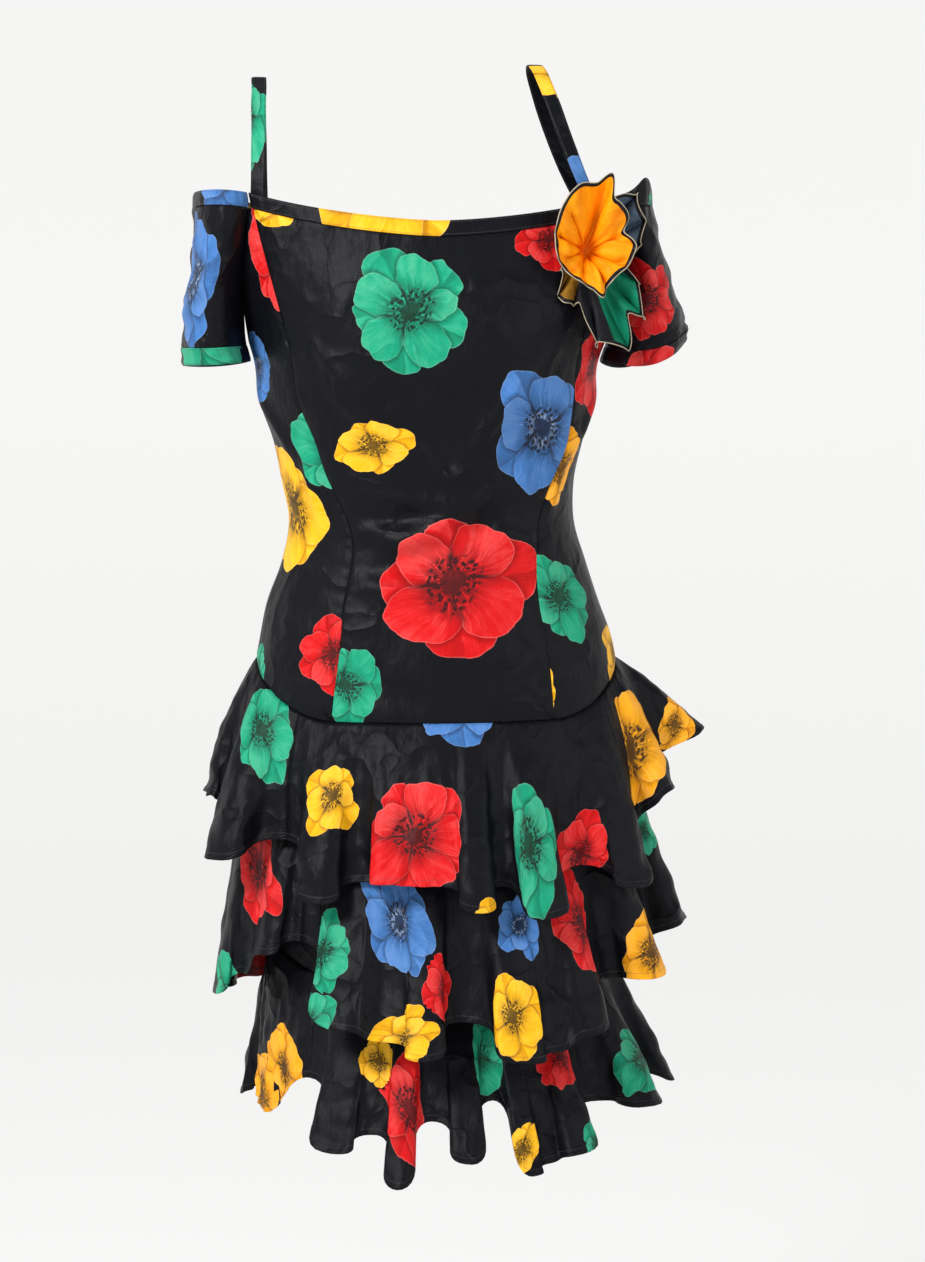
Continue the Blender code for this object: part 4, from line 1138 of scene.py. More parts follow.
# %% Flowers of the print
RED = (0.660, 0.008, 0.010)
GREEN = (0.010, 0.340, 0.185)
YELLOW = (0.930, 0.480, 0.008)
BLUE = (0.055, 0.185, 0.480)
ORANGE = (0.930, 0.400, 0.008)
Motif = namedtuple("Motif", "across down right up wide tall petals dye turn")
MOTIFS = table(Motif, (
    (410, 310, 0, 0, 61, 58, 5, GREEN, 10), (372, 447, -1, 1, 44, 30, 4, YELLOW, 20),
    (454, 580, 0, 0, 84, 75, 4, RED, 8), (546, 440, -1, 9, 66, 68, 4, BLUE, 30),
    (562, 467, 0, 0, 33, 42, 4, ORANGE, 15), (558, 596, 0, 0, 42, 50, 5, GREEN, 0),
    (316, 462, 22, 8, 52, 56, 4, GREEN, 25), (294, 500, -2, -8, 58, 70, 4, YELLOW, 35),
    (328, 655, 4, 0, 38, 38, 4, RED, 20), (350, 690, -4, 5, 36, 42, 4, GREEN, 5),
    (264, 270, 26, 22, 56, 74, 4, RED, 40), (285, 222, -8, 34, 62, 46, 4, YELLOW, 0),
    (545, 244, 4, 4, 34, 30, 4, RED, 10), (266, 366, -18, 0, 30, 34, 4, BLUE, 12),
    (588, 360, 14, -2, 36, 58, 4, RED, 33), (560, 690, -19, 0, 20, 32, 4, YELLOW, 0),
    (606, 655, 22, 0, 28, 32, 4, YELLOW, 50), (264, 672, -18, 0, 24, 26, 4, GREEN, 0),
    (261, 730, 0, 0, 52, 43, 4, GREEN, 22), (331, 799, 2, 0, 38, 36, 4, YELLOW, 10),
    (422, 830, -7, -2, 66, 62, 5, RED, 52), (463, 729, 0, 26, 48, 44, 4, BLUE, 0),
    (478, 893, 8, -38, 28, 32, 4, YELLOW, 0), (527, 852, 2, 5, 40, 68, 4, GREEN, 30),
    (575, 850, 8, 0, 34, 44, 4, RED, 14), (630, 744, -6, 0, 64, 62, 4, ORANGE, 18),
    (674, 726, 0, 0, 26, 24, 4, ORANGE, 0), (403, 1040, 7, -4, 48, 32, 5, YELLOW, 20),
    (258, 868, 2, 0, 58, 46, 4, RED, 24), (328, 945, -10, 0, 38, 42, 5, GREEN, 8),
    (318, 1015, -14, 0, 34, 36, 4, GREEN, 0), (404, 915, -8, -4, 42, 68, 4, BLUE, 16),
    (440, 978, 4, -12, 32, 36, 4, RED, 5), (520, 925, 0, 0, 30, 34, 4, BLUE, 40),
    (577, 918, 9, -2, 42, 54, 5, RED, 10), (520, 1018, -6, 0, 34, 42, 4, YELLOW, 25),
    (652, 952, 0, 0, 46, 46, 4, ORANGE, 35), (643, 830, 0, 0, 26, 28, 4, GREEN, 0),
    (230, 972, 18, -14, 58, 32, 4, GREEN, 0), (262, 1088, 0, -6, 46, 40, 4, ORANGE, 12),
    (293, 1070, -14, -14, 50, 36, 4, ORANGE, 40), (404, 1112, 7, -6, 48, 80, 4, RED, 20),
    (378, 1062, 0, 0, 28, 28, 4, YELLOW, 30), (483, 1060, -5, 0, 34, 42, 4, GREEN, 0),
    (526, 1155, -8, 0, 30, 34, 4, YELLOW, 15), (556, 1068, 0, 12, 36, 34, 5, RED, 8),
    (586, 1128, 20, 0, 26, 26, 4, GREEN, 0), (638, 1058, 0, 5, 40, 52, 5, GREEN, 12),
    (648, 300, -2, 0, 40, 44, 5, RED, 6), (196, 285, -11, 6, 43, 72, 4, BLUE, 20),
    (210, 357, -6, 44, 80, 84, 4, GREEN, 0), (652, 356, 0, -40, 44, 72, 4, RED, 0),
    (382, 225, 6, 42, 84, 78, 4, YELLOW, 45), (222, 201, 0, 34, 62, 60, 4, BLUE, 0),
    (649, 203, 8, 0, 12, 12, 4, GREEN, 0), (256, 124, -10, 8, 24, 60, 4, GREEN, 0),
    (541, 82, 26, 10, 60, 40, 4, YELLOW, 0), (576, 168, 30, -30, 80, 62, 4, BLUE, 0),
))
print(len(MOTIFS), "flowers to place in front")

# %% [markdown]
# Each picture point is a line of sight from the camera. Where it first meets the cloth, that cell
# of the piece gives the place on its flat cut, and the flower is laid there.

# %% Find where each line of sight meets the cloth
Placed = namedtuple("Placed", "right up wide tall petals dye turn seed")
MILLIMETRE = 0.001
SEED_STEP = 0.37
corners = []
cells = []
cell_owner = []
for name, cloth in cloths.items():
    if name.startswith("flower"):
        continue
    first = len(corners)
    corners += [vertex.co.copy() for vertex in cloth.piece.data.vertices]
    for face in cloth.piece.data.polygons:
        cells.append([first + index for index in face.vertices])
        cell_owner.append((name, face.index))
printed_dress = BVHTree.FromPolygons(corners, cells)
printed = {name: [] for name in cloths if not name.startswith("flower")}


def flat_place(name, cell, point):
    """Place on the flat cut of a point on one cell of a piece."""
    mesh = cloths[name].piece.data
    face = mesh.polygons[cell]
    spots = [mesh.vertices[index].co for index in face.vertices[:3]]
    flats = [mesh.uv_layers["cut"].data[loop].uv.to_3d() for loop in face.loop_indices[:3]]
    return barycentric_transform(point, *spots, *flats)


for number, motif in enumerate(MOTIFS):
    hit, _, index, _ = printed_dress.ray_cast(CAMERA_PLACE, line_of_sight(motif.across, motif.down))
    if hit is None:
        print("flower", number, "meets no cloth at", motif.across, motif.down)
        continue
    name, cell = cell_owner[index]
    place = flat_place(name, cell, hit)
    printed[name].append(Placed(
        place.x + motif.right * MILLIMETRE,
        place.y + motif.up * MILLIMETRE,
        motif.wide * MILLIMETRE,
        motif.tall * MILLIMETRE,
        motif.petals,
        motif.dye,
        math.radians(motif.turn),
        number * SEED_STEP,
    ))
print({name: len(placed) for name, placed in printed.items() if placed})

# %% [markdown]
# Behind, where the photograph shows nothing, the same print goes on at about the same spacing. The
# places are drawn from a fixed seed, and each is kept only if it has room on its piece.

# %% Flowers round the back
HIDDEN_FROM = 112.0
ROOM = 0.92
SCATTER_TRIES = 160
SMALLEST = 0.034
LARGEST = 0.062
LEAST_SPACE = 0.022
draw = random.Random(7)


def hidden_places(cloth):
    mesh = cloth.piece.data
    for face in mesh.polygons:
        centre = face.center
        if abs(math.degrees(math.atan2(centre.x, -centre.y))) > HIDDEN_FROM:
            yield face


for name, placed in printed.items():
    cloth = cloths[name]
    faces = [] if name.startswith("strap") else list(hidden_places(cloth))
    flats = cloth.piece.data.uv_layers["cut"].data
    for _ in range(SCATTER_TRIES if faces else 0):
        face = draw.choice(faces)
        place = flats[face.loop_indices[0]].uv
        size = draw.uniform(SMALLEST, LARGEST)
        room = all(
            math.hypot(place.x - old.right, place.y - old.up)
            > (size + max(old.wide, old.tall)) * ROOM + LEAST_SPACE
            for old in placed
        )
        if room:
            dye = draw.choice((RED, GREEN, YELLOW, BLUE, RED, ORANGE))
            tall = size * draw.uniform(0.9, 1.1)
            petals = draw.choice((4, 4, 5))
            turn = draw.uniform(0, 6.3)
            placed.append(Placed(place.x, place.y, size, tall, petals, dye, turn, draw.uniform(20, 60)))
print(sum(len(rows) for rows in printed.values()), "flowers on the dress")

# %% [markdown]
# Each cell of cloth keeps the flower that is nearest to it, as its own place inside that flower,
# the dye and the count of petals. The shader draws the petals from these numbers, so no picture
# is needed and the print is as sharp close by as from afar.

# %% Give each cell its flower
FAR_AWAY = (9.0, 9.0, 0.0)
NO_DYE = (0.0, 0.0, 0.0, 0.25)
FLOWER_REACH = 1.35
PETAL_UNIT = 16.0


def mark_print(cloth, rows):
    """Write each corner's place inside the nearest flower, and that flower's dye."""
    mesh = cloth.piece.data
    flats = mesh.uv_layers["cut"].data
    spots = [FAR_AWAY] * len(mesh.loops)
    dyes = [NO_DYE] * len(mesh.loops)
    for face in mesh.polygons:
        spread = [flats[loop].uv for loop in face.loop_indices]
        centre_x = sum(spot.x for spot in spread) / len(spread)
        centre_y = sum(spot.y for spot in spread) / len(spread)
        best = None
        reach = FLOWER_REACH
        for row in rows:
            away = math.hypot((centre_x - row.right) / row.wide, (centre_y - row.up) / row.tall)
            if away < reach:
                best, reach = row, away
        if best is None:
            continue
        cosine = math.cos(best.turn)
        sine = math.sin(best.turn)
        for loop in face.loop_indices:
            x = (flats[loop].uv.x - best.right) / best.wide
            y = (flats[loop].uv.y - best.up) / best.tall
            spots[loop] = (x * cosine + y * sine, y * cosine - x * sine, best.seed)
            dyes[loop] = (*best.dye, best.petals / PETAL_UNIT)
    place = mesh.attributes.new("motif", "FLOAT_VECTOR", "CORNER")
    place.data.foreach_set("vector", [number for spot in spots for number in spot])
    dye = mesh.attributes.new("dye", "FLOAT_COLOR", "CORNER")
    dye.data.foreach_set("color", [number for colour in dyes for number in colour])


for name, placed in printed.items():
    mark_print(cloths[name], placed)
print("print marked on", len(printed), "pieces")

# %% [markdown]
# The ruffles of the cloth flower are scraps of the same print, each mostly one colour. They get
# their dye by their direction round the eye: blue-grey above right, green below right, black
# below, tan below left.

# %% Dye the cloth flower
BLUE_GREY = (0.100, 0.150, 0.215)
BLACK = (0.014, 0.014, 0.018)
TAN = (0.330, 0.170, 0.020)
DARK_GREEN = (0.010, 0.250, 0.140)
BLOOM_DYE = (0.950, 0.370, 0.004)
Ruffle = namedtuple("Ruffle", "start end dye")
RUFFLES = (
    Ruffle(-14, 62, BLUE_GREY),
    Ruffle(214, 257.6, TAN),
    Ruffle(287.6, 335.6, DARK_GREEN),
)


def dye_flower(cloth, colour_at):
    """Give each corner the colour at its direction round the eye."""
    mesh = cloth.piece.data
    flats = mesh.uv_layers["cut"].data
    dyes = []
    for loop in range(len(mesh.loops)):
        turn = math.degrees(math.atan2(flats[loop].uv.y, flats[loop].uv.x))
        dyes += [*colour_at(turn), 1.0]
    layer = mesh.attributes.new("dye", "FLOAT_COLOR", "CORNER")
    layer.data.foreach_set("color", dyes)


def ruffle_dye(turn):
    for row in RUFFLES:
        if (turn - row.start) % 360.0 <= row.end - row.start:
            return row.dye
    return BLACK


dye_flower(cloths["flower_frill"], ruffle_dye)
dye_flower(cloths["flower_bloom"], lambda turn: BLOOM_DYE)
print(len(RUFFLES), "coloured ruffles on black")

# %% [markdown]
# Shader maths is easier to read as Python. This class holds one socket, and each operator adds
# the Math node that does it. Any other node comes from its one method, with settings first.

# %% Shader maths
class Signal:
    """A socket of the material being made, which can be added, multiplied and compared."""

    tree = None

    def __init__(self, socket):
        self.socket = socket

    @classmethod
    def node(cls, kind, settings=None, inputs=None, output=0):
        made = cls.tree.nodes.new(kind)
        for name, value in (settings or {}).items():
            setattr(made, name, value)
        for name, value in (inputs or {}).items():
            if isinstance(value, Signal):
                cls.tree.links.new(value.socket, made.inputs[name])
            else:
                made.inputs[name].default_value = value
        return cls(made.outputs[output]) if made.outputs else None

    def maths(self, operation, *others):
        return Signal.node("ShaderNodeMath", {"operation": operation}, dict(enumerate((self, *others))))

    def __add__(self, other):
        return self.maths("ADD", other)

    __radd__ = __add__

    def __mul__(self, other):
        return self.maths("MULTIPLY", other)

    __rmul__ = __mul__

    def __sub__(self, other):
        return self.maths("SUBTRACT", other)

    def __rsub__(self, other):
        return (self * -1.0).maths("ADD", other)

    def __truediv__(self, other):
        return self.maths("DIVIDE", other)

    def __rtruediv__(self, other):
        return self.maths("POWER", -1.0) * other

    def __pow__(self, other):
        return self.maths("POWER", other)

    def __mod__(self, other):
        return self.maths("FLOORED_MODULO", other)

    def __abs__(self):
        return self.maths("ABSOLUTE")

    def __gt__(self, other):
        return self.maths("GREATER_THAN", other)

    def __lt__(self, other):
        return self.maths("LESS_THAN", other)

    def clamp(self):
        return Signal.node("ShaderNodeClamp", None, {"Value": self})

    def between(self, low, high):
        """0 below low, 1 above high, eased in between."""
        settings = {"interpolation_type": "SMOOTHSTEP"}
        inputs = {"Value": self, "From Min": low, "From Max": high}
        return Signal.node("ShaderNodeMapRange", settings, inputs)


def blend_colour(share, first, second):
    inputs = {0: share, 6: first, 7: second}
    return Signal.node("ShaderNodeMix", {"data_type": "RGBA"}, inputs, 2)


def times_colour(first, second):
    settings = {"data_type": "RGBA", "blend_type": "MULTIPLY"}
    return Signal.node("ShaderNodeMix", settings, {0: 1.0, 6: first, 7: second}, 2)


def vector_of(x, y, z):
    return Signal.node("ShaderNodeCombineXYZ", None, {0: x, 1: y, 2: z})


def noise_at(spot, scale, detail=2.0, roughness=0.5, output=0):
    inputs = {"Vector": spot, "Scale": scale, "Detail": detail, "Roughness": roughness}
    return Signal.node("ShaderNodeTexNoise", None, inputs, output)


def read_attribute(name, output):
    return Signal.node("ShaderNodeAttribute", {"attribute_name": name}, None, output)


def parts_of(vector):
    made = Signal.node("ShaderNodeSeparateXYZ", None, {0: vector}).socket.node
    return [Signal(socket) for socket in made.outputs]


def warped(spot, scale, detail, roughness):
    """Two even noises at a spot, one for each direction, around zero."""
    colour = noise_at(spot, scale, detail, roughness, 1)
    made = Signal.node("ShaderNodeSeparateColor", None, {0: colour}).socket.node
    return Signal(made.outputs[0]) - 0.5, Signal(made.outputs[1]) - 0.5


print("shader maths ready")

# %% [markdown]
# A printed flower has two layers of rounded petals. The direction from its heart says which petal
# a point is on, and how far along it; the edge of each petal is a distance at which it ends. An
# image would be quicker, but this stays sharp and belongs to no photograph.

# %% Petals of the print
TURN = 2.0 * math.pi
BACK_LAYER_REACH = 1.0
FRONT_LAYER_REACH = 0.90
SEED_LEVELS = 16.0
SEED_SPREAD = 3.1
PETAL_BEND = 0.34
PETAL_RUFFLE = 0.06
SHORTEST_PETAL = 0.72
PETAL_ROUNDING = 0.42
OUTLINE = 0.004
RIM_WIDTH = 0.018
RIM_SHARE = 0.30
STREAK_RATE = 9.0
FINE_RATE = 26.0
MOTTLE_RATE = 3.4
OVERLAP_SHADE = 0.50
UNDER_SHADE = 0.75
STREAK_SHADE = 0.60
FINE_SHADE = 0.50
MOTTLE_SHADE = 0.60
HEART_SHADE = 0.24
PETAL_SHADE = 0.26
BACK_SHADE = 0.10
DEEPEST = 0.92
STREAK_REACH = 0.34
STAMEN_SCALE = 15.0
DEEP_SHARES = (0.46, 0.36, 0.36, 1.0)
LIGHT_DYE = (0.90, 0.88, 0.80, 1.0)
PALE_DYE = (0.85, 0.80, 0.70, 1.0)
HALO = (0.62, 0.70, 0.85, 1.0)
INK = (0.010, 0.008, 0.009, 1.0)


def petal_layer(turn, away, petals, seed, offset, reach):
    """How far inside this layer's outline a point is, its place across the petal and its draw."""
    step = turn * petals + offset
    whole = step.maths("FLOOR")
    across = (step - whole - 0.5) * 2.0
    index = whole % petals
    draw = Signal.node("ShaderNodeTexWhiteNoise", {"noise_dimensions": "2D"},
                       {"Vector": vector_of(index + offset, seed, 0.0)})
    end = (draw * (1.0 - SHORTEST_PETAL) + SHORTEST_PETAL) * reach
    wave = (across * 6.0 + draw * 20.0).maths("SINE") * 0.018
    ripple = (across * 13.0 + draw * 50.0).maths("SINE") * 0.008
    edge = end * (1.0 - abs(across) ** 2.2 * PETAL_ROUNDING) + wave + ripple
    return edge - away, across, draw


def printed_flower(ground):
    """Colour of the print over a ground colour, and how much of it is petal."""
    x, y, drawn = parts_of(read_attribute("motif", 1))
    seed = (drawn * SEED_LEVELS).maths("ROUND") / SEED_LEVELS
    dye = read_attribute("dye", 0)
    petals = (read_attribute("dye", 3) * PETAL_UNIT).maths("ROUND")
    spot = vector_of(x, y, seed * SEED_SPREAD)
    bend_x, bend_y = warped(spot, 1.3, 1.0, 0.5)
    ruffle_x, ruffle_y = warped(spot, 5.5, 2.0, 0.6)
    x = x + bend_x * PETAL_BEND + ruffle_x * PETAL_RUFFLE
    y = y + bend_y * PETAL_BEND + ruffle_y * PETAL_RUFFLE
    away = (x * x + y * y).maths("SQRT")
    turn = y.maths("ARCTAN2", x) / TURN + 0.5
    inside_front, across_front, draw_front = petal_layer(turn, away, petals, seed, 0.0, FRONT_LAYER_REACH)
    inside_back, _, draw_back = petal_layer(turn, away, petals, seed, 0.5, BACK_LAYER_REACH)
    front = inside_front.between(-OUTLINE, OUTLINE)
    back = inside_back.between(-OUTLINE, OUTLINE)
    cover = front.maths("MAXIMUM", back)

    # streaks fan out from the heart, because their noise is read round a circle
    round_x = x / (away + 0.02)
    round_y = y / (away + 0.02)
    streak_spot = vector_of(round_x * STREAK_RATE, round_y * STREAK_RATE, away * 1.6 + seed)
    streak = noise_at(streak_spot, 1.0, 3.0, 0.6)
    fine_spot = vector_of(round_x * FINE_RATE, round_y * FINE_RATE, away * 2.5 + seed)
    fine = noise_at(fine_spot, 1.0, 2.0, 0.6)
    mottle = noise_at(vector_of(x, y, seed), MOTTLE_RATE, 3.0, 0.6)
    overlap = across_front.between(0.45, 1.0) * away.between(0.2, 0.5)
    under = (1.0 - front) * (1.0 - (inside_front * -1.0).between(0.0, 0.13))
    shade = overlap * OVERLAP_SHADE + under * UNDER_SHADE + (1.0 - away.between(0.15, 0.60)) * HEART_SHADE
    shade = shade + (streak - 0.5) * STREAK_SHADE + (fine - 0.5) * FINE_SHADE
    shade = shade + (mottle - 0.5) * MOTTLE_SHADE + (draw_front - 0.5) * PETAL_SHADE * front
    shade = shade + ((draw_back - 0.5) * PETAL_SHADE + BACK_SHADE) * (1.0 - front)
    deep = times_colour(dye, DEEP_SHARES)
    light = blend_colour(0.05, dye, LIGHT_DYE)
    colour = blend_colour((0.25 - shade).between(0.0, 0.5), dye, light)
    colour = blend_colour(shade.clamp() * DEEPEST, colour, deep)

    # a thin pale line runs round every petal
    rim_front = front * (1.0 - inside_front.between(OUTLINE, RIM_WIDTH))
    rim_side = front * abs(across_front).between(0.955, 0.985) * away.between(0.3, 0.5) * (across_front < 0.0)
    rim_back = (1.0 - front) * (1.0 - inside_back.between(OUTLINE, RIM_WIDTH))
    rim = rim_front.maths("MAXIMUM", rim_back).maths("MAXIMUM", rim_side)
    pale = blend_colour(0.30, dye, PALE_DYE)
    colour = blend_colour(rim * RIM_SHARE, colour, pale)

    # dark streaks leave the heart along the petals, and round it stands a ring of stamens
    reach = away + (streak - 0.5) * STREAK_REACH
    dark_streak = (1.0 - reach.between(0.20, 0.56)) * (fine * 0.6 + streak * 0.9).between(0.56, 0.86)
    seam_dark = abs(across_front).between(0.80, 1.0) * (1.0 - reach.between(0.26, 0.62))
    dots = Signal.node("ShaderNodeTexVoronoi", {"feature": "F1", "voronoi_dimensions": "2D"},
                       {"Vector": vector_of(x + seed, y, 0.0), "Scale": STAMEN_SCALE})
    ring = away.between(0.10, 0.14) * (1.0 - away.between(0.29, 0.38))
    stamens = ring * (1.0 - dots.between(0.30, 0.44))
    heart = 1.0 - away.between(0.12, 0.17)
    blue_share = (parts_of(dye)[2] - parts_of(dye)[0]).between(0.2, 0.4)
    halo = away.between(0.13, 0.17) * (1.0 - away.between(0.19, 0.27)) * blue_share * fine.between(0.35, 0.6)
    colour = blend_colour(halo * 0.8, colour, HALO)
    ink = blend_colour(0.06, INK, dye)
    dark = (dark_streak * 0.86 + seam_dark * 0.72).clamp().maths("MAXIMUM", stamens)
    dark = dark.maths("MAXIMUM", heart * (mottle * 0.4 + 0.72))
    colour = blend_colour(dark.clamp(), colour, ink)
    return blend_colour(cover, ground, colour), cover


print("each printed flower has two layers of petals, the front one", FRONT_LAYER_REACH, "as long")

# %% [markdown]
# The cloth is polished cotton: a fine plain weave with a low gloss, black where it isn't
# printed. The crumples, the weave, the slubs and the puckers along the seams are a height that
# only turns the light, and stitches are short pale dashes at a fixed distance from the sewn edge.

# %% Cloth finishes
THREAD_PITCH = 0.00055
STITCH_LENGTH = 0.0028
STITCH_SHARE = 0.68
STITCH_COLOUR = (0.060, 0.058, 0.060, 1.0)
BLACK_GROUND = (0.0026, 0.0028, 0.0042, 1.0)
WORN_GROUND = (0.0056, 0.0060, 0.0086, 1.0)
REVERSE_FADE = 0.62
BINDING = (0.008, 0.008, 0.009, 1.0)
BINDING_WIDTH = 0.0038
RIM_THREAD = (0.42, 0.36, 0.26, 1.0)
RIM_THREAD_WIDTH = 0.0007
# painted shade: how dark the folds and the eye of the cloth flower are painted, as a share of the dye times
# itself
PAINTED_FOLD_SHADE = (0.8, 0.8, 0.8, 1.0)
SLUBS_ACROSS = 60.0
SLUBS_ALONG = 900.0
FADE_RATE = 9.0
CRUMPLE_STRETCH = (1.0, 1.0, 0.45)
CRUMPLE_RATE = 26.0
SMALL_RATE = 85.0
SWELL_RATE = 12.0
CREASE_RATE = 7.0
CREASE_SHARPNESS = 14.0
SHARP_RATE = 13.0
SHARP_SHARPNESS = 22.0
PUCKER_RATE = 520.0
CRUMPLE_RISE = 0.0050
SMALL_RISE = 0.0007
SWELL_RISE = 0.0085
CREASE_RISE = 0.0024
SHARP_RISE = 0.0007
PUCKER_RISE = 0.00018
WEAVE_RISE = 0.000022
STITCH_RISE = 0.00012
BUMP_STRENGTH = 0.80
LEAST_ROUGHNESS = 0.32
LOW_GLOSS = 0.10


def weave_height(flat_x, flat_y):
    warp = (flat_x * (TURN / THREAD_PITCH)).maths("SINE")
    weft = (flat_y * (TURN / THREAD_PITCH)).maths("SINE")
    return warp * weft


def crease_lines(noise_value, sharpness):
    """Thin ridges where a noise passes its middle."""
    return (1.0 - abs(noise_value * 2.0 - 1.0)) ** sharpness


def bound_cotton(flat_x, flat_y, edge):
    """One dye with painted shade in radial streaks along its folds and towards the eye, a black binding at
    its rim and a pale thread outside that.
    """
    dye = read_attribute("dye", 0)
    run_out = (flat_x * flat_x + flat_y * flat_y).maths("SQRT")
    spot = vector_of(flat_x / run_out * 5.0, flat_y / run_out * 5.0, run_out * 25.0)
    # painted shade: the dye darkens in radial streaks where the gathers fold, and towards the eye where the
    # folds crowd together
    deep = noise_at(spot, 1.0, 2.0) * 1.5 - 0.45 + (1.0 - run_out.between(0.008, 0.026)) * 0.7
    colour = blend_colour(deep.clamp(), dye, times_colour(times_colour(dye, dye), PAINTED_FOLD_SHADE))
    cover = edge.between(BINDING_WIDTH, BINDING_WIDTH + 0.0003)
    colour = blend_colour(1.0 - cover, colour, BINDING)
    thread = 1.0 - edge.between(RIM_THREAD_WIDTH, RIM_THREAD_WIDTH + 0.0002)
    return blend_colour(thread, colour, RIM_THREAD), cover


def new_cloth(name, bound=False, reverse=False):
    material = bpy.data.materials.new(name)
    material.use_nodes = True
    tree = material.node_tree
    tree.nodes.clear()
    Signal.tree = tree
    flat = Signal.node("ShaderNodeUVMap", {"uv_map": "cut"})
    flat_x, flat_y, _ = parts_of(flat)
    run, edge, stitch = parts_of(read_attribute("trim", 1))
    place = Signal.node("ShaderNodeTexCoord", None, None, 3)
    slub = noise_at(vector_of(flat_x * SLUBS_ACROSS, flat_y * SLUBS_ALONG, 0.0), 1.0, 2.0)
    fade = noise_at(place, FADE_RATE, 3.0, 0.6)
    if bound:
        colour, cover = bound_cotton(flat_x, flat_y, edge)
        tone = slub * 0.14 + 0.93
    else:
        ground = blend_colour((slub * 0.5 + fade * 0.5).clamp(), BLACK_GROUND, WORN_GROUND)
        colour, cover = printed_flower(ground)
        tone = slub * 0.16 + fade * 0.10 + 0.87
        if reverse:
            colour = blend_colour(REVERSE_FADE, colour, ground)
    colour = times_colour(colour, Signal.node("ShaderNodeCombineColor", None, {0: tone, 1: tone, 2: tone}))

    stitched = 1.0 - abs(edge - stitch).between(0.00018, 0.00042)
    dash = ((run / STITCH_LENGTH) % 1.0 < STITCH_SHARE) * stitched
    colour = blend_colour(dash * 0.55, colour, STITCH_COLOUR)

    pucker = (run * PUCKER_RATE + noise_at(place, 30.0) * 6.0).maths("SINE")
    pucker = pucker * (1.0 - edge.between(0.002, 0.016))
    drawn_out = Signal.node("ShaderNodeVectorMath", {"operation": "MULTIPLY"}, {0: place, 1: CRUMPLE_STRETCH})
    crumple = noise_at(drawn_out, CRUMPLE_RATE, 4.0, 0.55)
    small = noise_at(place, SMALL_RATE, 3.0, 0.55)
    swell = noise_at(place, SWELL_RATE, 2.0)
    crease = crease_lines(noise_at(place, CREASE_RATE, 3.0, 0.55), CREASE_SHARPNESS)
    sharp = crease_lines(noise_at(place, SHARP_RATE, 2.0, 0.5), SHARP_SHARPNESS)
    height = crumple * CRUMPLE_RISE + small * SMALL_RISE + pucker * PUCKER_RISE + swell * SWELL_RISE
    height = height + crease * CREASE_RISE + sharp * SHARP_RISE
    height = height + weave_height(flat_x, flat_y) * WEAVE_RISE + dash * STITCH_RISE
    bump = {"Strength": BUMP_STRENGTH, "Distance": 1.0, "Height": height}
    shader = Signal.node("ShaderNodeBsdfPrincipled", None, {
        "Base Color": colour,
        "Roughness": fade * 0.10 + cover * 0.08 + slub * 0.05 + LEAST_ROUGHNESS,
        "Normal": Signal.node("ShaderNodeBump", None, bump),
        "Specular IOR Level": LOW_GLOSS,
    })
    Signal.node("ShaderNodeOutputMaterial", None, {0: shader})
    return material


printed_face = new_cloth("printed_cotton")
printed_reverse = new_cloth("printed_cotton_reverse", reverse=True)
flower_cotton = new_cloth("bound_flower_cotton", bound=True)
print("cloth finishes:", [material.name for material in (printed_face, printed_reverse, flower_cotton)])

# %% [markdown]
# Last, each grid gets its thickness, its finish and its place in the frame: it rides on the one
# body, stands for its solid, and says how large its flat cut was before it was sewn.

# %% Finish each piece
FULLEST_CUT = 0.999


def cut_size(mesh):
    """Width, length and area of the flat cut."""
    flats = mesh.uv_layers["cut"].data
    xs = [corner.uv.x for corner in flats]
    ys = [corner.uv.y for corner in flats]
    area = 0.0
    for face in mesh.polygons:
        spots = [flats[loop].uv for loop in face.loop_indices]
        area += abs(sum(a.x * b.y - a.y * b.x for a, b in zip(spots, spots[1:] + spots[:1]))) / 2
    return max(xs) - min(xs), max(ys) - min(ys), area


def finish_cloth(cloth):
    """Thickness, finish and place in the frame of one piece, and the area of its cut."""
    piece = cloth.piece
    mesh = piece.data
    wide, long, area = cut_size(mesh)
    wall = piece.modifiers.new("cloth", "SOLIDIFY")
    wall.thickness = CLOTH_WALL
    wall.offset = -1.0
    wall.use_even_offset = False
    if cloth.name.startswith("flower"):
        mesh.materials.append(flower_cotton)
    else:
        mesh.materials.append(printed_face)
        mesh.materials.append(printed_reverse)
        wall.material_offset = 1
    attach(piece, "root")
    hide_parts(cloth.name)
    min(area, FULLEST_CUT * wide * long)
    print(cloth.name, "cut", round(wide, 3), "by", round(long, 3), "m,", round(area, 4), "square metres")
    return area


whole_cut = sum(finish_cloth(cloth) for cloth in cloths.values())
print("whole cut", round(whole_cut, 2), "square metres")

# %% [markdown]
# The dress stands in a plain pale studio: a round floor that curves up into a low wall, far enough
# away to walk round the dress inside it. The paper glows a little, as a lit paper backdrop does,
# so it is even from every side. A lamp on the front left shows the folds, a wide weak one on the
# right and one above fill the shadows.

# %% Floor, lamps and sky
FLOOR_HEIGHT = -1.46
FLOOR_RADIUS = 5.0
SWEEP_RADIUS = 1.2
SWEEP_STEPS = 16
WALL_TOP = 2.5
ROUND_STEPS = 64
SAME_SPOT = 0.001
PAPER_GREY = (0.30, 0.30, 0.30, 1.0)
PAPER_GLOW = (1.0, 0.995, 0.985, 1.0)
SKY_COLOUR = (0.95, 0.97, 1.0, 1.0)
SKY_STRENGTH = 0.25


def sweep_profile(step):
    """Radius and height of one ring of the floor, its curve and its wall."""
    if step == 0:
        return 0.0, FLOOR_HEIGHT
    if step == SWEEP_STEPS + 2:
        return FLOOR_RADIUS + SWEEP_RADIUS, WALL_TOP
    turn = math.pi / 2 * (step - 1) / SWEEP_STEPS
    rise = SWEEP_RADIUS * (1.0 - math.cos(turn))
    return FLOOR_RADIUS + SWEEP_RADIUS * math.sin(turn), FLOOR_HEIGHT + rise


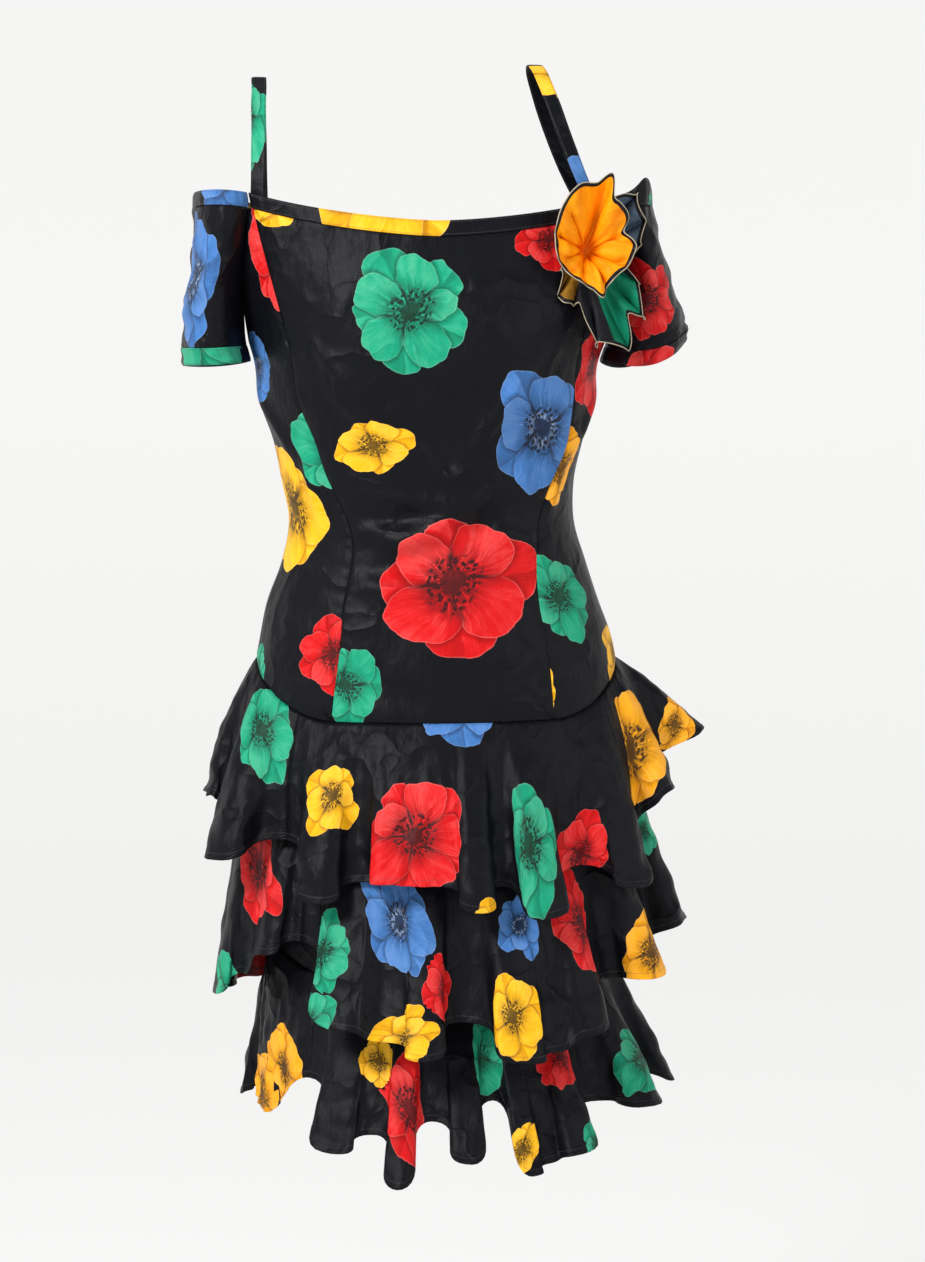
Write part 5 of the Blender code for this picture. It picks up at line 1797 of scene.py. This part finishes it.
sweep = bmesh.new()
bmesh.ops.create_grid(sweep, x_segments=ROUND_STEPS, y_segments=SWEEP_STEPS + 2, size=0.5)
for vertex in sweep.verts:
    radius, height = sweep_profile(round((vertex.co.y + 0.5) * (SWEEP_STEPS + 2)))
    turn = TURN * (vertex.co.x + 0.5)
    vertex.co = Vector((radius * math.cos(turn), radius * math.sin(turn), height))
bmesh.ops.remove_doubles(sweep, verts=sweep.verts, dist=SAME_SPOT)
sweep_mesh = bpy.data.meshes.new("pale_sweep")
sweep.to_mesh(sweep_mesh)
sweep.free()
sweep_mesh.shade_smooth()
pale_sweep = bpy.data.objects.new("pale_sweep", sweep_mesh)
bpy.context.scene.collection.objects.link(pale_sweep)

pale = bpy.data.materials.new("pale_paper")
pale.use_nodes = True
paper = pale.node_tree.nodes["Principled BSDF"]
for socket, value in (
    ("Base Color", PAPER_GREY),
    ("Roughness", 0.9),
    ("Specular IOR Level", 0.0),
    ("Emission Color", PAPER_GLOW),
    ("Emission Strength", 0.68),
):
    paper.inputs[socket].default_value = value
sweep_mesh.materials.append(pale)

Lamp = namedtuple("Lamp", "name place target size power")
LAMPS = (
    Lamp("key_left", (-1.7, -1.9, 1.25), (0.0, 0.0, -0.4), 0.8, 90.0),
    Lamp("fill_right", (2.2, -1.8, 0.5), (0.0, 0.0, -0.5), 1.6, 18.0),
    Lamp("top", (0.0, -0.2, 3.2), (0.0, 0.0, -0.5), 2.4, 34.0),
)
for row in LAMPS:
    light = bpy.data.lights.new(row.name, "AREA")
    light.size = row.size
    light.energy = row.power
    lamp = bpy.data.objects.new(row.name, light)
    bpy.context.scene.collection.objects.link(lamp)
    lamp.location = row.place
    aim = Vector(row.target) - Vector(row.place)
    lamp.rotation_euler = aim.to_track_quat("-Z", "Y").to_euler()

sky = bpy.data.worlds.new("pale_sky")
sky.use_nodes = True
background = sky.node_tree.nodes["Background"]
background.inputs["Color"].default_value = SKY_COLOUR
background.inputs["Strength"].default_value = SKY_STRENGTH
bpy.context.scene.world = sky
bpy.context.scene.view_settings.view_transform = "Standard"
print(len(LAMPS), "lamps")
